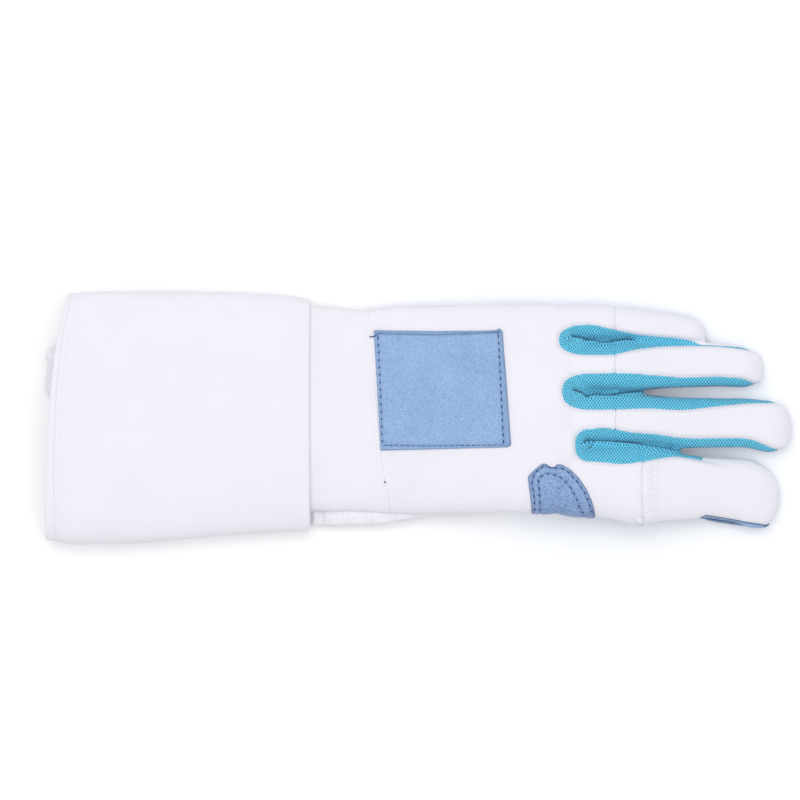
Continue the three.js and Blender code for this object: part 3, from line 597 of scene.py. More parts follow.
def darker(colour, share):
    return tuple(share * c for c in colour[:3]) + (1,)


def cloth(name, light, dark, thread):
    """Plain woven cloth: two crossed sets of fine threads, blotched a little in colour."""
    made = Recipe(name, Roughness=0.92, Sheen_Weight=0.25, Sheen_Roughness=0.5, Specular_IOR_Level=0.2)
    x, y, z = made.split(made.place())
    turns = 2 * math.pi / thread
    wobble = made.noise(900.0, 2.0) * 2.2
    across = (x * turns + wobble).maths("SINE")
    along = ((y + z) * turns + wobble).maths("SINE")
    weave = across * along
    fuzz = made.noise(1600.0, 4.0)
    shade = made.ramp(weave, -1, 1) * 0.35 + (fuzz * 0.35 + made.noise(38.0) * 0.45)
    return made.finish(made.mix(made.ramp(shade, 0.3, 0.85), dark, light), weave * 0.5 + fuzz, 0.3, 0.0002)


def suede(name, light, dark):
    """Napped leather: fine fuzz, with slow patches where the nap lies the other way. The shade attribute
    mixes in painted shade, a darker copy of the dark colour.
    """
    made = Recipe(name, Roughness=0.95, Sheen_Weight=0.4, Sheen_Roughness=0.45, Specular_IOR_Level=0.15)
    fuzz = made.noise(2300.0, 4.0)
    speck = made.noise(1100.0, 4.0)
    nap = fuzz * 0.45 + (speck * 0.5 + made.noise(60.0) * 0.15)
    lit = made.mix(made.ramp(nap, 0.38, 0.74), dark, light)
    return made.finish(made.mix(made.attribute("shade"), lit, darker(dark, 0.35)), fuzz + speck, 0.5, 0.0004)


KNIT_STITCH = 1.6  # between holes along a strip
KNIT_ROWS = 1.95  # between every second row


def knit(name, light, dark, deep):
    """Knitted mesh that follows its strip: rows of holes, each half a stitch along from the last. flow_upper
    and flow_lower hold the distance along that side of the strip, in from its edge, and from the fold. The
    shade attribute paints shade over it, in the deep colour."""
    made = Recipe(name, Roughness=0.7, Sheen_Weight=0.2, Specular_IOR_Level=0.3)
    upper, lower = (made.attribute(key, "Vector") for key in ("flow_upper", "flow_lower"))
    over = made.split(upper)[2].maths("GREATER_THAN", 0.0)
    along, inward, _ = made.split(made.mix(over, lower, upper, "VECTOR"))
    u = along * (2 * math.pi / KNIT_STITCH)
    v = inward * (2 * math.pi / KNIT_ROWS)
    yarn = made.ramp((u + v).maths("COSINE") + (u - v).maths("COSINE"), -1.6, 0.1)
    fuzz = made.ramp(made.noise(1300.0), 0.3, 0.7)
    yarns = made.mix(yarn, made.mix(fuzz, dark, deep), made.mix(fuzz, light, darker(light, 0.8)))
    return made.finish(made.mix(made.attribute("shade"), yarns, deep), yarn, 0.8, 0.0005)


def sewing_thread(name, colour):
    made = Recipe(name, Roughness=0.6)
    ply = made.noise(2500.0)
    return made.finish(made.mix(made.ramp(ply, 0.3, 0.7), darker(colour, 0.85), colour), ply, 0.25, 0.0001)


# Each finish is a material and the record's slot that it stands for.
white = cloth("white cloth", (0.9, 0.885, 0.945, 1), (0.84, 0.825, 0.89, 1), 0.0006), "white_fabric"
white_cuff = cloth("cuff cloth", (0.895, 0.88, 0.94, 1), (0.835, 0.82, 0.88, 1), 0.00065), "white_fabric"
blue_suede = suede("blue suede", (0.42, 0.58, 0.84, 1), (0.195, 0.335, 0.59, 1)), "suede"
dark_suede = suede("dark blue suede", (0.46, 0.61, 0.88, 1), (0.09, 0.19, 0.42, 1)), "suede"
blue_knit = (knit("knitted mesh", (0.16, 0.74, 1.0, 1), (0.03, 0.20, 0.42, 1), (0.012, 0.09, 0.22, 1)),
             "mesh_fabric")
blue_thread = sewing_thread("blue thread", (0.02, 0.06, 0.21, 1)), "suede"
white_thread = sewing_thread("white thread", (0.95, 0.945, 0.98, 1)), "white_fabric"
hem_thread = sewing_thread("hem thread", (0.78, 0.77, 0.87, 1)), "white_fabric"


# Pieces
WELDED = 0.08  # points nearer than this become one, so that no slivers are left along a cut


def dress(obj, finish, *replaced):
    """A piece gets its finish's material, rides on the one body, and replaces CAD nodes."""
    material, slot = finish
    obj.data.materials.clear()
    obj.data.materials.append(material)
    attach(obj, "root")
    if replaced:
        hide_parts(*replaced)
    return obj


def weld(obj):
    obj.modifiers.new("weld", "WELD").merge_threshold = WELDED / MM


def thicken(obj, thickness):
    """A sheet gets a thickness, away from its normals."""
    weld(obj)
    made = obj.modifiers.new("thickness", "SOLIDIFY")
    made.thickness = thickness / MM
    made.offset = -1
    made.use_rim = True
    return obj


def closed(co, tris, inner):
    """A sheet and its underside as one closed shell, with a rim along every open edge."""
    edges = np.concatenate([tris[:, [0, 1]], tris[:, [1, 2]], tris[:, [2, 0]]])
    _, where, count = np.unique(np.sort(edges, 1), axis=0, return_inverse=True, return_counts=True)
    a, b = edges[count[where.reshape(-1)] == 1].T
    base = len(co)
    rim = [np.stack([b, a, a + base], 1), np.stack([b, a + base, b + base], 1)]
    return np.concatenate([co, inner]), np.concatenate([tris, tris[:, ::-1] + base, *rim])


def refine(co, tris, extra=()):
    """Each triangle as four, with a new point in the middle of every edge."""
    pairs = np.sort(np.concatenate([tris[:, [0, 1]], tris[:, [1, 2]], tris[:, [2, 0]]]), 1)
    keys, where = np.unique(pairs, axis=0, return_inverse=True)
    a, b, c = (where.reshape(3, -1) + len(co))
    p, q, r = tris.T
    new = np.concatenate([np.stack(t, 1) for t in ((p, a, c), (a, q, b), (c, b, r), (a, b, c))])
    return [np.concatenate([v, (v[keys[:, 0]] + v[keys[:, 1]]) / 2]) for v in (co, *extra)] + [new]


def score(co, tris, f, extra=()):
    """The same triangles, cut along f = 0 so that an edge runs there."""
    sides = [clip(co, tris, side, extra) for side in (f, -f)]
    values = [np.concatenate([a, b]) for a, b in zip(*[[s[0], *s[2:]] for s in sides])]
    _, first, where = np.unique(np.round(values[0], 5), axis=0, return_index=True, return_inverse=True)
    new = where.reshape(-1)[np.concatenate([sides[0][1], sides[1][1] + len(sides[0][0])])]
    new = new[(new[:, 0] != new[:, 1]) & (new[:, 1] != new[:, 2]) & (new[:, 2] != new[:, 0])]
    return [v[first] for v in values] + [new]


def panel(name, keep, thickness, finish, *replaced, move=None, fine=False, flow=None, shade=None, lines=()):
    """A piece of the skin where keep, the distance in from its edge, is positive. It thickens inwards.
    move(points, inward, normals) shifts it, and shade(points, inward) says where shade is painted on it. An
    edge runs along each of lines, where a function of the points is nought. flow is two vectors a point,
    for knit."""
    fields = [keep[:, None], skin_n] + ([] if flow is None else [flow])
    co, tris, inward, nn, *more = clip(skin, skin_tris, keep, fields)
    if fine:
        co, inward, nn, *more, tris = refine(co, tris, [inward, nn, *more])
    for line in lines:
        co, inward, nn, *more, tris = score(co, tris, line(co), [inward, nn, *more])
    dark = None if shade is None else shade(co, inward[:, 0])
    if move is not None:
        co = co + move(co, inward[:, 0], nn)
    obj = new_object(name, *closed(co, tris, co - nn * thickness))
    weld(obj)
    # The painted shade goes on both faces of the shell.
    if dark is not None:
        paint(obj, "shade", np.tile(dark, 2))
    if more:
        paint(obj, "flow_upper", np.tile(more[0][:, :3], (2, 1)))
        paint(obj, "flow_lower", np.tile(more[0][:, 3:], (2, 1)))
    return dress(obj, finish, *replaced), tree_of(co, tris)


# Panels of the hand and fingers
on_back = np.minimum.reduce([above, -strip, wrist + 0.3])
BACK_THICKNESS = 2.6
TAPE = (131.2, 138.2)  # where the index finger's band starts and ends


def hand_move(co, d, nn):
    """The hand's panel laps over the index finger's, and over the sleeve."""
    beside = smooth(crease(2, np.maximum(co[:, 0], HAND_LENGTH)) - co[:, 1], -0.5, 1.5)
    up = 0.9 * smooth(co[:, 0], 116, 129.5) * beside
    up += 0.15 * smooth(co[:, 0] - wrist_skew(0.0, co[:, 1]), 4, 0)
    return nn * up[:, None]


def index_move(co, d, nn):
    """The band across the index finger stands a little proud."""
    tape = smooth(co[:, 0], TAPE[0] - 0.4, TAPE[0] + 0.4) * smooth(co[:, 0], TAPE[1] + 0.6, TAPE[1] - 0.4)
    return nn * (0.4 * tape * smooth(d, 0, 1.5))[:, None]


back, back_tree = panel("back_of_hand", np.minimum(on_back, -fingers), BACK_THICKNESS, white, "hand_back",
                        move=hand_move)
finger_trees = []
for f, band, move in zip(FINGERS, bands, (None, None, None, index_move)):
    made, tree = panel(f"back_of_{f['name']}", np.minimum(on_back, band), BACK_THICKNESS, white,
                       f"finger_back_{f['name']}", move=move)
    finger_trees.append(tree)

# The folds down the middle of the strips: the lower side laps over the upper one.
FOLDS = [
    [(95.5, 37.25), (97, 36.5), (99.5, 36.2), (103, 35), (107.5, 34.8), (110, 34), (113.5, 33.7), (118, 34.5),
     (124, 35.2), (130, 35.3)],
    [(96.2, 10), (100.5, 8.5), (103, 6.5), (108, 7.8), (112, 7.2), (116, 7.2), (121, 8.2), (131, 9.3),
     (136, 9), (139, 8.9)],
    [(101.5, -15.9), (104, -15.3), (108, -15.3), (117.3, -15.9), (126.5, -16.6), (136, -18), (146, -19.8),
     (152, -20.6)],
]
HOLLOWS = [(96.8, 36.6), (103, 6.6), (103.3, -15.6)]  # a dip at each fold's start
KNIT_THICKNESS = 1.2
OVER_PALM = 2.9  # the least height of a strip over the underside of the palm


def fold_side(i):
    """A function of points: how far above strip i's fold each is, in the plan."""
    path = np.array([tuple(outlines[i][TURN]), *FOLDS[i]])
    return lambda co: co[:, 1] - np.interp(co[:, 0], path[:, 0], path[:, 1])


def fold_run(i, co, d):
    """1 along the fold, and 0 past its ends and at the strip's edge."""
    x0 = FOLDS[i][0][0]
    x1 = FOLDS[i][-1][0]
    return smooth(co[:, 0], x0 - 1.0, x0 + 1.5) * smooth(co[:, 0], x1, x1 - 7) * smooth(d, 0.2, 2.0)


def fold_move(i):
    """How strip i is shifted: down towards its fold from above, and lapped over it from below."""
    def move(co, d, nn):
        over, run = fold_side(i)(co), fold_run(i, co, d)
        slope = 0.6 * np.exp(-over / 2.3) + 0.4 * np.exp(-over / 0.7)
        dip = np.where(over >= -1e-4, slope, smooth(over, -0.45, 0))
        hollow = near(np.hypot(co[:, 0] - HOLLOWS[i][0], co[:, 1] - HOLLOWS[i][1]), 1.3)
        out = np.zeros_like(co)
        out[:, 2] = (-3.3 * dip + 0.8 * near(over + 1.7, 1.4)) * run - 1.0 * hollow * smooth(d, 0.2, 2)
        out[:, 1] = 0.8 * near(np.minimum(over + 0.45, 0), 0.9) * (over < -0.2) * run
        for k in np.flatnonzero(out[:, 2] < -0.2):
            under = surface(skin_tree, co[k, 0], co[k, 1], low=True)
            if under:
                out[k, 2] = max(out[k, 2], min(0.0, under[0][2] + OVER_PALM - co[k, 2]))
        return out
    return move


def fold_painted_shade(i):
    """Painted shade on strip i: dark in its fold, and low down between the fingers, where shade falls."""
    def shade(co, d):
        over = fold_side(i)(co)
        past = np.maximum(over, 0)
        dark = np.where(over > -0.3, 0.75 * near(past, 0.8) + 0.3 * near(past, 2.2), 0)
        fold = fold_run(i, co, d) * dark
        return np.clip(np.maximum(fold, 0.4 * smooth(-co[:, 2], -11, -7)), 0, 0.97)
    return shade


strips = []
for i, s in enumerate(STRIPS):
    side = fold_side(i)
    flow = []
    for path in (outlines[i][:TURN + 1][::-1], outlines[i][TURN:]):
        inward, along = line_distance(path, skin[:, :2])
        flow += [along, inward, side(skin)]
    flow = np.stack(flow, 1)
    made, _ = panel(
        f"knit_{s['name']}", np.minimum(strip_in[i], above), KNIT_THICKNESS, blue_knit,
        f"fourchette_{s['name']}", move=fold_move(i), fine=True, flow=flow, shade=fold_painted_shade(i),
        lines=[side, lambda co: side(co) + 0.22, lambda co: side(co) + 0.45, lambda co: side(co) - 0.4])
    strips.append(made)
SUEDE_THICKNESS = 1.4
# The palm gets painted shade: a dark line along its seam, all round its edge.
palm, _ = panel("palm_of_hand", np.minimum(-above, wrist), SUEDE_THICKNESS, blue_suede, "palm",
                shade=lambda co, d: 0.9 * near(d, 0.7))


# Stitches
def stitch_mesh(places, length, radius, sides=7):
    """Short rounded bars: places holds (middle, direction, up) for each."""
    rows = [(-0.5, 0.25), (-0.36, 0.85), (-0.12, 1.0), (0.12, 1.0), (0.36, 0.85), (0.5, 0.25)]
    last = (len(rows) - 1) * sides
    co, faces = [], []
    for middle, way, up in places:
        side = np.cross(way, up)
        base = len(co)
        for t, r in rows:
            sag = -0.9 * radius * (2 * abs(t)) ** 2
            for k in range(sides):
                a = 2 * math.pi * k / sides
                co.append(middle + way * (t * length) + side * (r * radius * math.cos(a))
                          + up * (r * radius * math.sin(a) + sag))
        for j in range(base, base + last, sides):
            for k in range(sides):
                m = (k + 1) % sides
                faces.append((j + k, j + m, j + sides + m, j + sides + k))
        faces.append(tuple(base + k for k in range(sides))[::-1])
        faces.append(tuple(base + last + k for k in range(sides)))
    return np.array(co), faces


def steps_along(path, marks):
    """The plan points at these distances along an open path."""
    path = np.asarray(path, float)
    run = run_of(path)
    return np.stack([np.interp(marks, run, path[:, 0]), np.interp(marks, run, path[:, 1])], -1)


def run_of(path):
    """How far along the path each of its points is."""
    step = np.linalg.norm(np.diff(np.asarray(path, float), axis=0), axis=1)
    return np.concatenate([[0], np.cumsum(step)])


def walk(path, pitch):
    """Even steps along an open path of plan points, as (middle, direction)."""
    whole = run_of(path)[-1]
    count = max(1, int(round(whole / pitch)))
    marks = (np.arange(count) + 0.5) * whole / count
    way = steps_along(path, marks + 0.3) - steps_along(path, marks - 0.3)
    return steps_along(path, marks), way / np.maximum(np.linalg.norm(way, axis=1), 1e-9)[:, None]


def sew(name, rows, pitch, length, radius, tree, finish, low=False, sunk=0.0, seed=5):
    """Stitches along plan rows, lying on a surface. Without a pitch, each row is one stitch, end to end."""
    least_up = 0.4  # steeper places are over the piece's edge, and get no stitch
    rng = np.random.default_rng(seed)
    places = []
    for row in rows:
        if pitch is None:
            length = float(run_of(row)[-1])
        for middle, way in zip(*walk(row, pitch or 1e9)):
            found = surface(tree, *middle, low=low)
            if found is None:
                continue
            hit, normal = np.array(found[0]), np.array(found[1])
            if abs(normal[2]) < least_up:
                continue
            normal = -normal if (normal[2] < 0) != low else normal
            way = np.array([way[0], way[1], 0]) + rng.normal(0, 0.05, 3)
            way -= normal * (way @ normal)
            if np.linalg.norm(way) < 1e-3:
                continue
            places.append((hit + normal * (radius * 0.55 - sunk), way / np.linalg.norm(way), normal))
    return dress(new_object(name, *stitch_mesh(places, length, radius)), finish)


def zigzag(path, width, pitch):
    """A zigzag row over a plan path, as one short row for each leg."""
    at = steps_along(path, np.arange(0, run_of(path)[-1], pitch / 2))
    way = np.gradient(at, axis=0)
    side = np.stack([-way[:, 1], way[:, 0]], 1) / np.maximum(np.linalg.norm(way, axis=1), 1e-9)[:, None]
    ends = at + side * (width / 2) * np.where(np.arange(len(at)) % 2, 1, -1)[:, None]
    return [ends[k:k + 2] for k in range(len(ends) - 1)]


def rounded(d, radius):
    """The height of a rounded edge, as a share of its radius, at a distance in from it."""
    return np.sqrt(np.clip(1 - (1 - np.clip(d / radius, 0, 1)) ** 2, 0, 1))


# Suede on the back
# The square is sewn down on three sides, and its upper edge is folded over.
SQUARE = [(-3, 40.1), (28, 39.6), (58, 39.9), (59.4, 41), (61.2, 39.4), (65.3, -17.1), (63.2, -18),
          (0.4, -19.7)]
PATCH_THICKNESS = 1.2
square_in = np.where(above > 2, outline_distance(SQUARE, skin[:, :2]), -1)
LEFT = [(-1, 38.4), (0.3, 10), (1.4, -17)]
RIGHT = [(59, 39), (60.3, 10), (61.5, -17)]
LOW = [(1.5, -17.1), (20, -17.4), (40, -17.2), (61.4, -16.9)]
FOLD = np.array([(-0.8, 38.4), (28.9, 37.7), (59.4, 38.9)])


def near_rows(rows, co):
    """The distance to the nearest of several rows of stitches."""
    return np.minimum.reduce([line_distance(row, co[:, :2])[0] for row in rows])


def square_move(co, d, nn):
    over = smooth(co[:, 1] - np.interp(co[:, 0], FOLD[:, 0], FOLD[:, 1]), -0.2, 0.5)
    sewn, fold = near_rows((LEFT, RIGHT, LOW), co), near_rows([FOLD], co)
    height = (0.5 + 0.8 * rounded(d, 1.1) - 0.5 * near(sewn, 0.6) + 0.3 * near(sewn - 2.4, 1.4) + 0.6 * over
              - 0.45 * near(fold, 0.5) + waves(co, 21, [21, 11], 0.1))
    return nn * height[:, None]


# Painted shade on the square: dark at its edge, along its stitch rows and in its fold. It is also a little
# darker past its right row and on the lip above its fold.
def square_painted_shade(co, d):
    sewn, fold = near_rows((LEFT, RIGHT, LOW), co), near_rows([FOLD], co)
    past = smooth(co[:, 0] - np.interp(-co[:, 1], [-38, 17], [59.6, 61.8]), 0, 0.6)
    above_fold = smooth(co[:, 1], 38.2, 38.8)
    return np.clip(0.35 * near(d, 0.5) + 0.22 * near(sewn, 0.5) + 0.5 * near(fold, 0.45) + 0.15 * past
                   + 0.12 * above_fold, 0, 0.8)


square_piece, square_tree = panel("suede_square", square_in, PATCH_THICKNESS, blue_suede, "back_patch",
                                  move=square_move, fine=True, shade=square_painted_shade)
square_sewn = [
    sew("suede_square_left", [LEFT], 3.6, 1.4, 0.33, square_tree, blue_thread),
    sew("suede_square_right", [RIGHT], 3.5, 2.1, 0.3, square_tree, blue_thread),
    sew("suede_square_low", [LOW], 2.7, 2.1, 0.17, square_tree, blue_thread),
]

# The suede at the root of the index finger has a scalloped edge and two rows of stitches.
ROOT_EDGE = [
    (75.7, -66), (75.7, -50.2), (73.5, -32.9), (74.6, -31.3), (79.1, -27.2), (81.1, -26), (82.8, -26.3),
    (84.6, -27.7), (86.8, -27.7), (88.2, -26.3), (90.4, -26.6), (94.5, -28.8), (99.1, -33.4),
    (102.8, -38.8), (105.5, -44.8), (107.2, -51.1), (108.4, -66)]
ROOT_ROWS = [
    [(77.1, -54), (77.1, -50), (76.8, -43.8), (75.7, -36.1), (75.7, -34.1), (76.6, -31.3), (79.1, -28.8),
     (81.1, -27.6), (82.5, -27.4), (84.1, -28), (86.8, -28.4), (89.5, -28.2), (92.8, -29.5),
     (95.4, -32.3), (98.2, -35.2), (101.4, -39.8), (103.9, -45.2), (105.9, -51.1), (106.4, -55)],
    [(79.7, -54), (79.7, -50), (79.4, -41.6), (79, -36.1), (78.6, -34.2), (80, -32.5), (82.3, -31.1),
     (85, -31), (87.3, -31.8), (89.6, -32.9), (93.2, -35.7), (95.5, -38.8), (97.3, -42.3), (98.4, -44.8),
     (99.3, -47.5), (101.8, -51.6), (103, -55)],
]
root_in = np.minimum(outline_distance(ROOT_EDGE, skin[:, :2]), above - 0.6)


def root_move(co, d, nn):
    height = 0.45 + 0.85 * rounded(d, 1.0) - 0.5 * near(near_rows(ROOT_ROWS, co), 0.55)
    return nn * (height + waves(co, 31, [14, 8], 0.1))[:, None]


# Painted shade on the suede at the index root: dark at its edge and along its stitch rows. It is also darker
# towards the thumb side.
def root_painted_shade(co, d):
    low = smooth(co[:, 1], -42, -53)
    return np.clip(0.5 * near(d, 0.6) + 0.25 * near(near_rows(ROOT_ROWS, co), 0.5) + 0.18 * low, 0, 0.8)


root_piece, root_tree = panel("suede_root", root_in, PATCH_THICKNESS, dark_suede, "index_root_patch",
                              move=root_move, fine=True, shade=root_painted_shade)
root_sewn = sew("suede_root_stitches", ROOT_ROWS, 3.4, 1.9, 0.3, root_tree, blue_thread)

# The suede edge that shows along the index finger: a rolled edge with two grooves, with shade painted in
# them.
EDGE_X = [158, 161, 165, 176, 183.5, 190, 194, 196]
EDGE_HIGH = [-53.2, -53.1, -53.6, -54.9, -56, -56.9, -57.4, -57.6]
EDGE_LOW = [-53.6, -53.8, -55.0, -56.9, -57.9, -58.8, -58.7, -58.1]
EDGE_SIDES = 72
EDGE_HIDDEN = 1.6  # how far the roll goes on out of sight
EDGE_HEIGHT = 6.3  # of its middle
EDGE_RISE = 3.7  # half its height
EDGE_SQUARE = 2.3


def round_angles(sides):
    return 2 * np.pi * np.arange(sides) / sides


def grooves(a, width):
    """1 in the two grooves along the edge, at these angles round its section."""
    return sum(near(np.angle(np.exp(1j * (a - t))), width) for t in (2.15, 2.75))


a = round_angles(EDGE_SIDES)
r = 1 - 0.16 * grooves(a, 0.13)
rings = []
for v in np.arange(158.4, 195.9, 0.5):
    high = float(follow(EDGE_X, EDGE_HIGH, v))
    low = float(follow(EDGE_X, EDGE_LOW, v))
    end = math.sqrt(max(0.0009, 1 - max(0, (v - 190) / 5.8) ** 2)) * min(1, 0.25 + (v - 158) / 9)
    half = ((high - low) / 2 + EDGE_HIDDEN) * (0.05 + 0.95 * end)
    low += EDGE_HIDDEN * (1 - end) * (v > 170)
    rings.append(np.stack([
        np.full(EDGE_SIDES, v), low + half + half * r * bend(np.cos(a), EDGE_SQUARE),
        EDGE_HEIGHT + EDGE_RISE * end * r * bend(np.sin(a), EDGE_SQUARE) + 0.25 * np.sin(v * 0.9)], 1))
edge_piece = new_object("suede_edge", *tube(rings))
# Painted shade in the two grooves.
paint(edge_piece, "shade", grooves(np.concatenate([np.tile(a, len(rings)), [0, 0]]), 0.2))
dress(edge_piece, dark_suede, "index_edge_binding")


# Thumb
THUMB_ROOT = 9  # the length of its rounded root
THUMB_ROUNDNESS = 2.4
THUMB_STEP = 0.8
THUMB_SIDES = 110
THUMB_GAP = 0.4  # between its top and the hand
THUMB_PRESSED = 6  # the most that its top is pressed down


def thumb_section(x, scale=1.0):
    """The thumb's section at x, lying on the surface below, with its root raised into the hand."""
    at = (x - THUMB_START) / THUMB_LENGTH
    keys = [0, 0.09, 0.18, 0.3, 0.45, 0.7, 1]

    def column(values):
        return value_at(keys, values, at)

    h = THUMB_HEIGHT * column([0.9, 0.95, 0.98, 1, 1, 1, 0.95])
    return dict(x=x, c=HALF * column([-0.7, -0.7, -0.69, -0.67, -0.64, -0.57, -0.5]), h=h * scale, bed=False,
                half=THUMB_WIDTH * column([1, 1.03, 1.06, 1.05, 1.02, 0.98, 0.86]) * scale / 2,
                lift=THUMB_HEIGHT * column([0.7, 0.42, 0.14, 0.02, 0, 0, 0]) + h * (1 - scale) / 3)


def thumb_skin():
    tip = THUMB_START + THUMB_LENGTH
    blunt = THUMB_WIDTH * 0.5
    root = round_end(THUMB_START, THUMB_ROOT, THUMB_ROUNDNESS, 14)
    stations = [(2 * THUMB_START + THUMB_ROOT - v, s) for v, s in root][::-1]
    straight = np.arange(THUMB_START + THUMB_ROOT + THUMB_STEP, tip - blunt, THUMB_STEP)
    stations += [(x, 1.0) for x in straight] + round_end(tip - blunt, blunt, THUMB_ROUNDNESS, 18)
    co, faces = tube([ring(thumb_section(x, s), THUMB_SIDES, FINGER_SQUARE) for x, s in stations])
    return co, as_triangles(faces)


thumb, thumb_tris = thumb_skin()
ceiling = bed(thumb[:, 0], thumb[:, 1]) - THUMB_GAP
pressed = np.maximum(ceiling, thumb[:, 2] - THUMB_PRESSED)
thumb[:, 2] = np.where(thumb[:, 2] > ceiling, pressed, thumb[:, 2])
stations = np.linspace(THUMB_START, THUMB_START + THUMB_LENGTH, 60)
sections = [thumb_section(v) for v in stations]
level = thumb[:, 2] - np.interp(thumb[:, 0], stations, [c["lift"] + c["h"] / 2 for c in sections])
n = normals_of(thumb, thumb_tris)
# The seam between the thumb's two halves draws in.
thumb = thumb - n * (0.6 * near(level, 0.9))[:, None]
thumb_under, thumb_inner = (
    dress(thicken(new_object(name, *clip(thumb, thumb_tris, keep)), SUEDE_THICKNESS), finish, node_name)
    for name, keep, finish, node_name in (("thumb_under", -level, white, "thumb_back"),
                                          ("thumb_inner", level, blue_suede, "thumb_front")))


# Cuff, sleeve and what is on them
def mouth_skew(x, y):
    """How far the cuff's mouth and what is near it lie along x, since the mouth is aslant."""
    across = (y - CUFF_OFFSET) / (CUFF_WIDTH / 2)
    fading = np.maximum(0, 1 - (x - MOUTH) / (CUFF_LENGTH * 0.8))
    return follow([-1, -0.5, 0.1, 0.6, 1], [0, 0.4, 2.4, 6, 11], across) * fading


def cuff_section(x):
    keys = [0, 0.12, 0.35, 0.7, 0.92, 1]
    at = (x - MOUTH) / CUFF_LENGTH
    little = CUFF_WIDTH / 2 * value_at(keys, [0.99, 1.005, 1.01, 1, 0.975, 0.95], at)
    thumb_side = CUFF_WIDTH / 2 * value_at(keys, [-0.985, -1.022, -1.01, -0.95, -0.925, -0.92], at)
    return dict(x=x, c=CUFF_OFFSET + (little + thumb_side) / 2, half=(little - thumb_side) / 2, bed=False,
                h=CUFF_HEIGHT * value_at(keys, [0.92, 0.98, 1, 0.98, 0.92, 0.88], at), skew=mouth_skew)


HEM_DEPTH = CUFF_WALL + SLEEVE_EASE + SLEEVE_WALL
CUFF_SIDES = 260
SLEEVE_SIDES = 200


def cuff_rings():
    """The cuff, as a loop of rings: the mouth's lip, the outside, the fold, the inside and the hem."""
    r = CUFF_FOLD / 2
    lip_r = 1.1
    along = list(np.arange(MOUTH + 2 * lip_r, CUFF_END - 2 * r, 1.0))
    fold = [(CUFF_END - r + r * math.sin(t), r - r * math.cos(t)) for t in np.linspace(0.1, np.pi - 0.1, 12)]
    lip = [(MOUTH + lip_r - lip_r * math.cos(t), lip_r - lip_r * math.sin(t))
           for t in np.linspace(0.15, np.pi / 2, 6)]
    loop = lip + [(v, 0.0) for v in along] + fold
    loop += [(CUFF_END - 2 * r, CUFF_FOLD), (CUFF_END - 3 * r, CUFF_WALL)]
    loop += [(v, CUFF_WALL) for v in along[::-4] if v > MOUTH + HEM] + [(MOUTH + HEM, HEM_DEPTH)]
    loop += [(v, HEM_DEPTH - d) for v, d in lip[::-1]]
    return tube([ring(cuff_section(v), CUFF_SIDES, CUFF_SQUARE, d) for v, d in loop], loop=True)


def sleeve_section(x):
    inside = cuff_section(min(x, CUFF_END))
    depth = CUFF_WALL + SLEEVE_EASE
    at = min(1.0, -x / CUFF_SETBACK)
    little = WRIST_WIDTH / 2 * float(follow([0, 0.3, 0.6, 1], [0.985, 1, 1.02, 1.02], at))
    thumb_side = WRIST_WIDTH / 2 * float(follow([0, 0.3, 0.6, 1], [-1.005, -0.99, -0.985, -0.985], at))
    t = float(smooth(-x, CUFF_SETBACK * 0.5, CUFF_SETBACK))

    def mix(a, b, t=t):
        return a + (b - a) * t

    little = mix(little, inside["c"] + inside["half"] - depth)
    thumb_side = mix(thumb_side, inside["c"] - inside["half"] + depth, float(smooth(-x, 34, 48)))
    return dict(x=x, c=(little + thumb_side) / 2, half=(little - thumb_side) / 2,
                h=mix(WRIST_HEIGHT, inside["h"] - 2 * depth), lift=mix(0, depth),
                skew=lambda a, b: mouth_skew(a, b) + wrist_skew(a, b))


def sleeve_rings():
    """The sleeve, whose end is tucked under the hand's panel."""
    along = [(v, 0.0) for v in np.arange(MOUTH + HEM + 0.6, CUFF_END - 6, 4.0)]
    along += [(v, 0.0) for v in np.arange(CUFF_END - 6, -0.8, 0.8)]
    along += [(-0.2, 0.2), (0.2, 1.0), (0.6, 2.4), (1.2, 3.1), (4.0, 3.2)]
    loop = along + [(v, d + SLEEVE_WALL) for v, d in along[::-1]]
    return tube([ring(sleeve_section(v), SLEEVE_SIDES, HAND_SQUARE, d) for v, d in loop], loop=True)


def tube_piece(name, co, faces, finish, node_name):
    """A piece made of a tube, and what surface() needs to find it."""
    obj = dress(new_object(name, co, faces), finish, node_name)
    return obj, tree_of(points_of(obj), as_triangles(faces))


UP = np.array([0, 0, 1.0])
co, faces = cuff_rings()
n = normals_of(co, np.array([f[:3] for f in faces]))
outer = smooth(n[:, 2], 0.0, 0.6) * (co[:, 2] > 14)
lift = waves(co, 8, [90, 50, 26], 0.45) * outer
lift -= 0.5 * near(co[:, 0] - mouth_skew(co[:, 0], co[:, 1]) - MOUTH - 5.5, 0.8) * outer
cuff, cuff_tree = tube_piece("cuff_shell", co + lift[:, None] * UP, faces, white_cuff, "cuff")

co, faces = sleeve_rings()
lift = waves(co, 12, [40, 22, 12], 0.3) * (co[:, 2] > 10) * smooth(co[:, 0], CUFF_END - 4, CUFF_END + 6)
sleeve, sleeve_tree = tube_piece("sleeve_tube", co + lift[:, None] * UP, faces, white_cuff, "sleeve")

# The hem's row of stitches, on both faces of the cuff.
hem_y = np.linspace(CUFF_OFFSET - CUFF_WIDTH / 2 + 3, CUFF_OFFSET + CUFF_WIDTH / 2 - 3, 80)
hem_row = np.stack([MOUTH + mouth_skew(MOUTH, hem_y) + 3.5 - 0.026 * hem_y, hem_y], 1)
hem_stitch = [hem_row], 1.9, 1.3, 0.23, cuff_tree, hem_thread
hem_over = sew("cuff_hem_over", *hem_stitch, seed=11)
hem_under = sew("cuff_hem_under", *hem_stitch, low=True, sunk=0.4, seed=12)

# The under-layer that shows along the thumb side of the wrist, bunched at its cuff end.
GUSSET_EDGE_X = [-36, -34, -31, -26, 0, 13.5, 25, 36.5, 51]
GUSSET_EDGE_Y = [-56.2, -57.6, -57.6, -58.1, -57.2, -54.6, -52.6, -51.2, -50]
GUSSET_SIDES = 84
GUSSET_SQUARE = 2.6


def gusset_edge(x):
    return np.interp(x, GUSSET_EDGE_X, GUSSET_EDGE_Y)


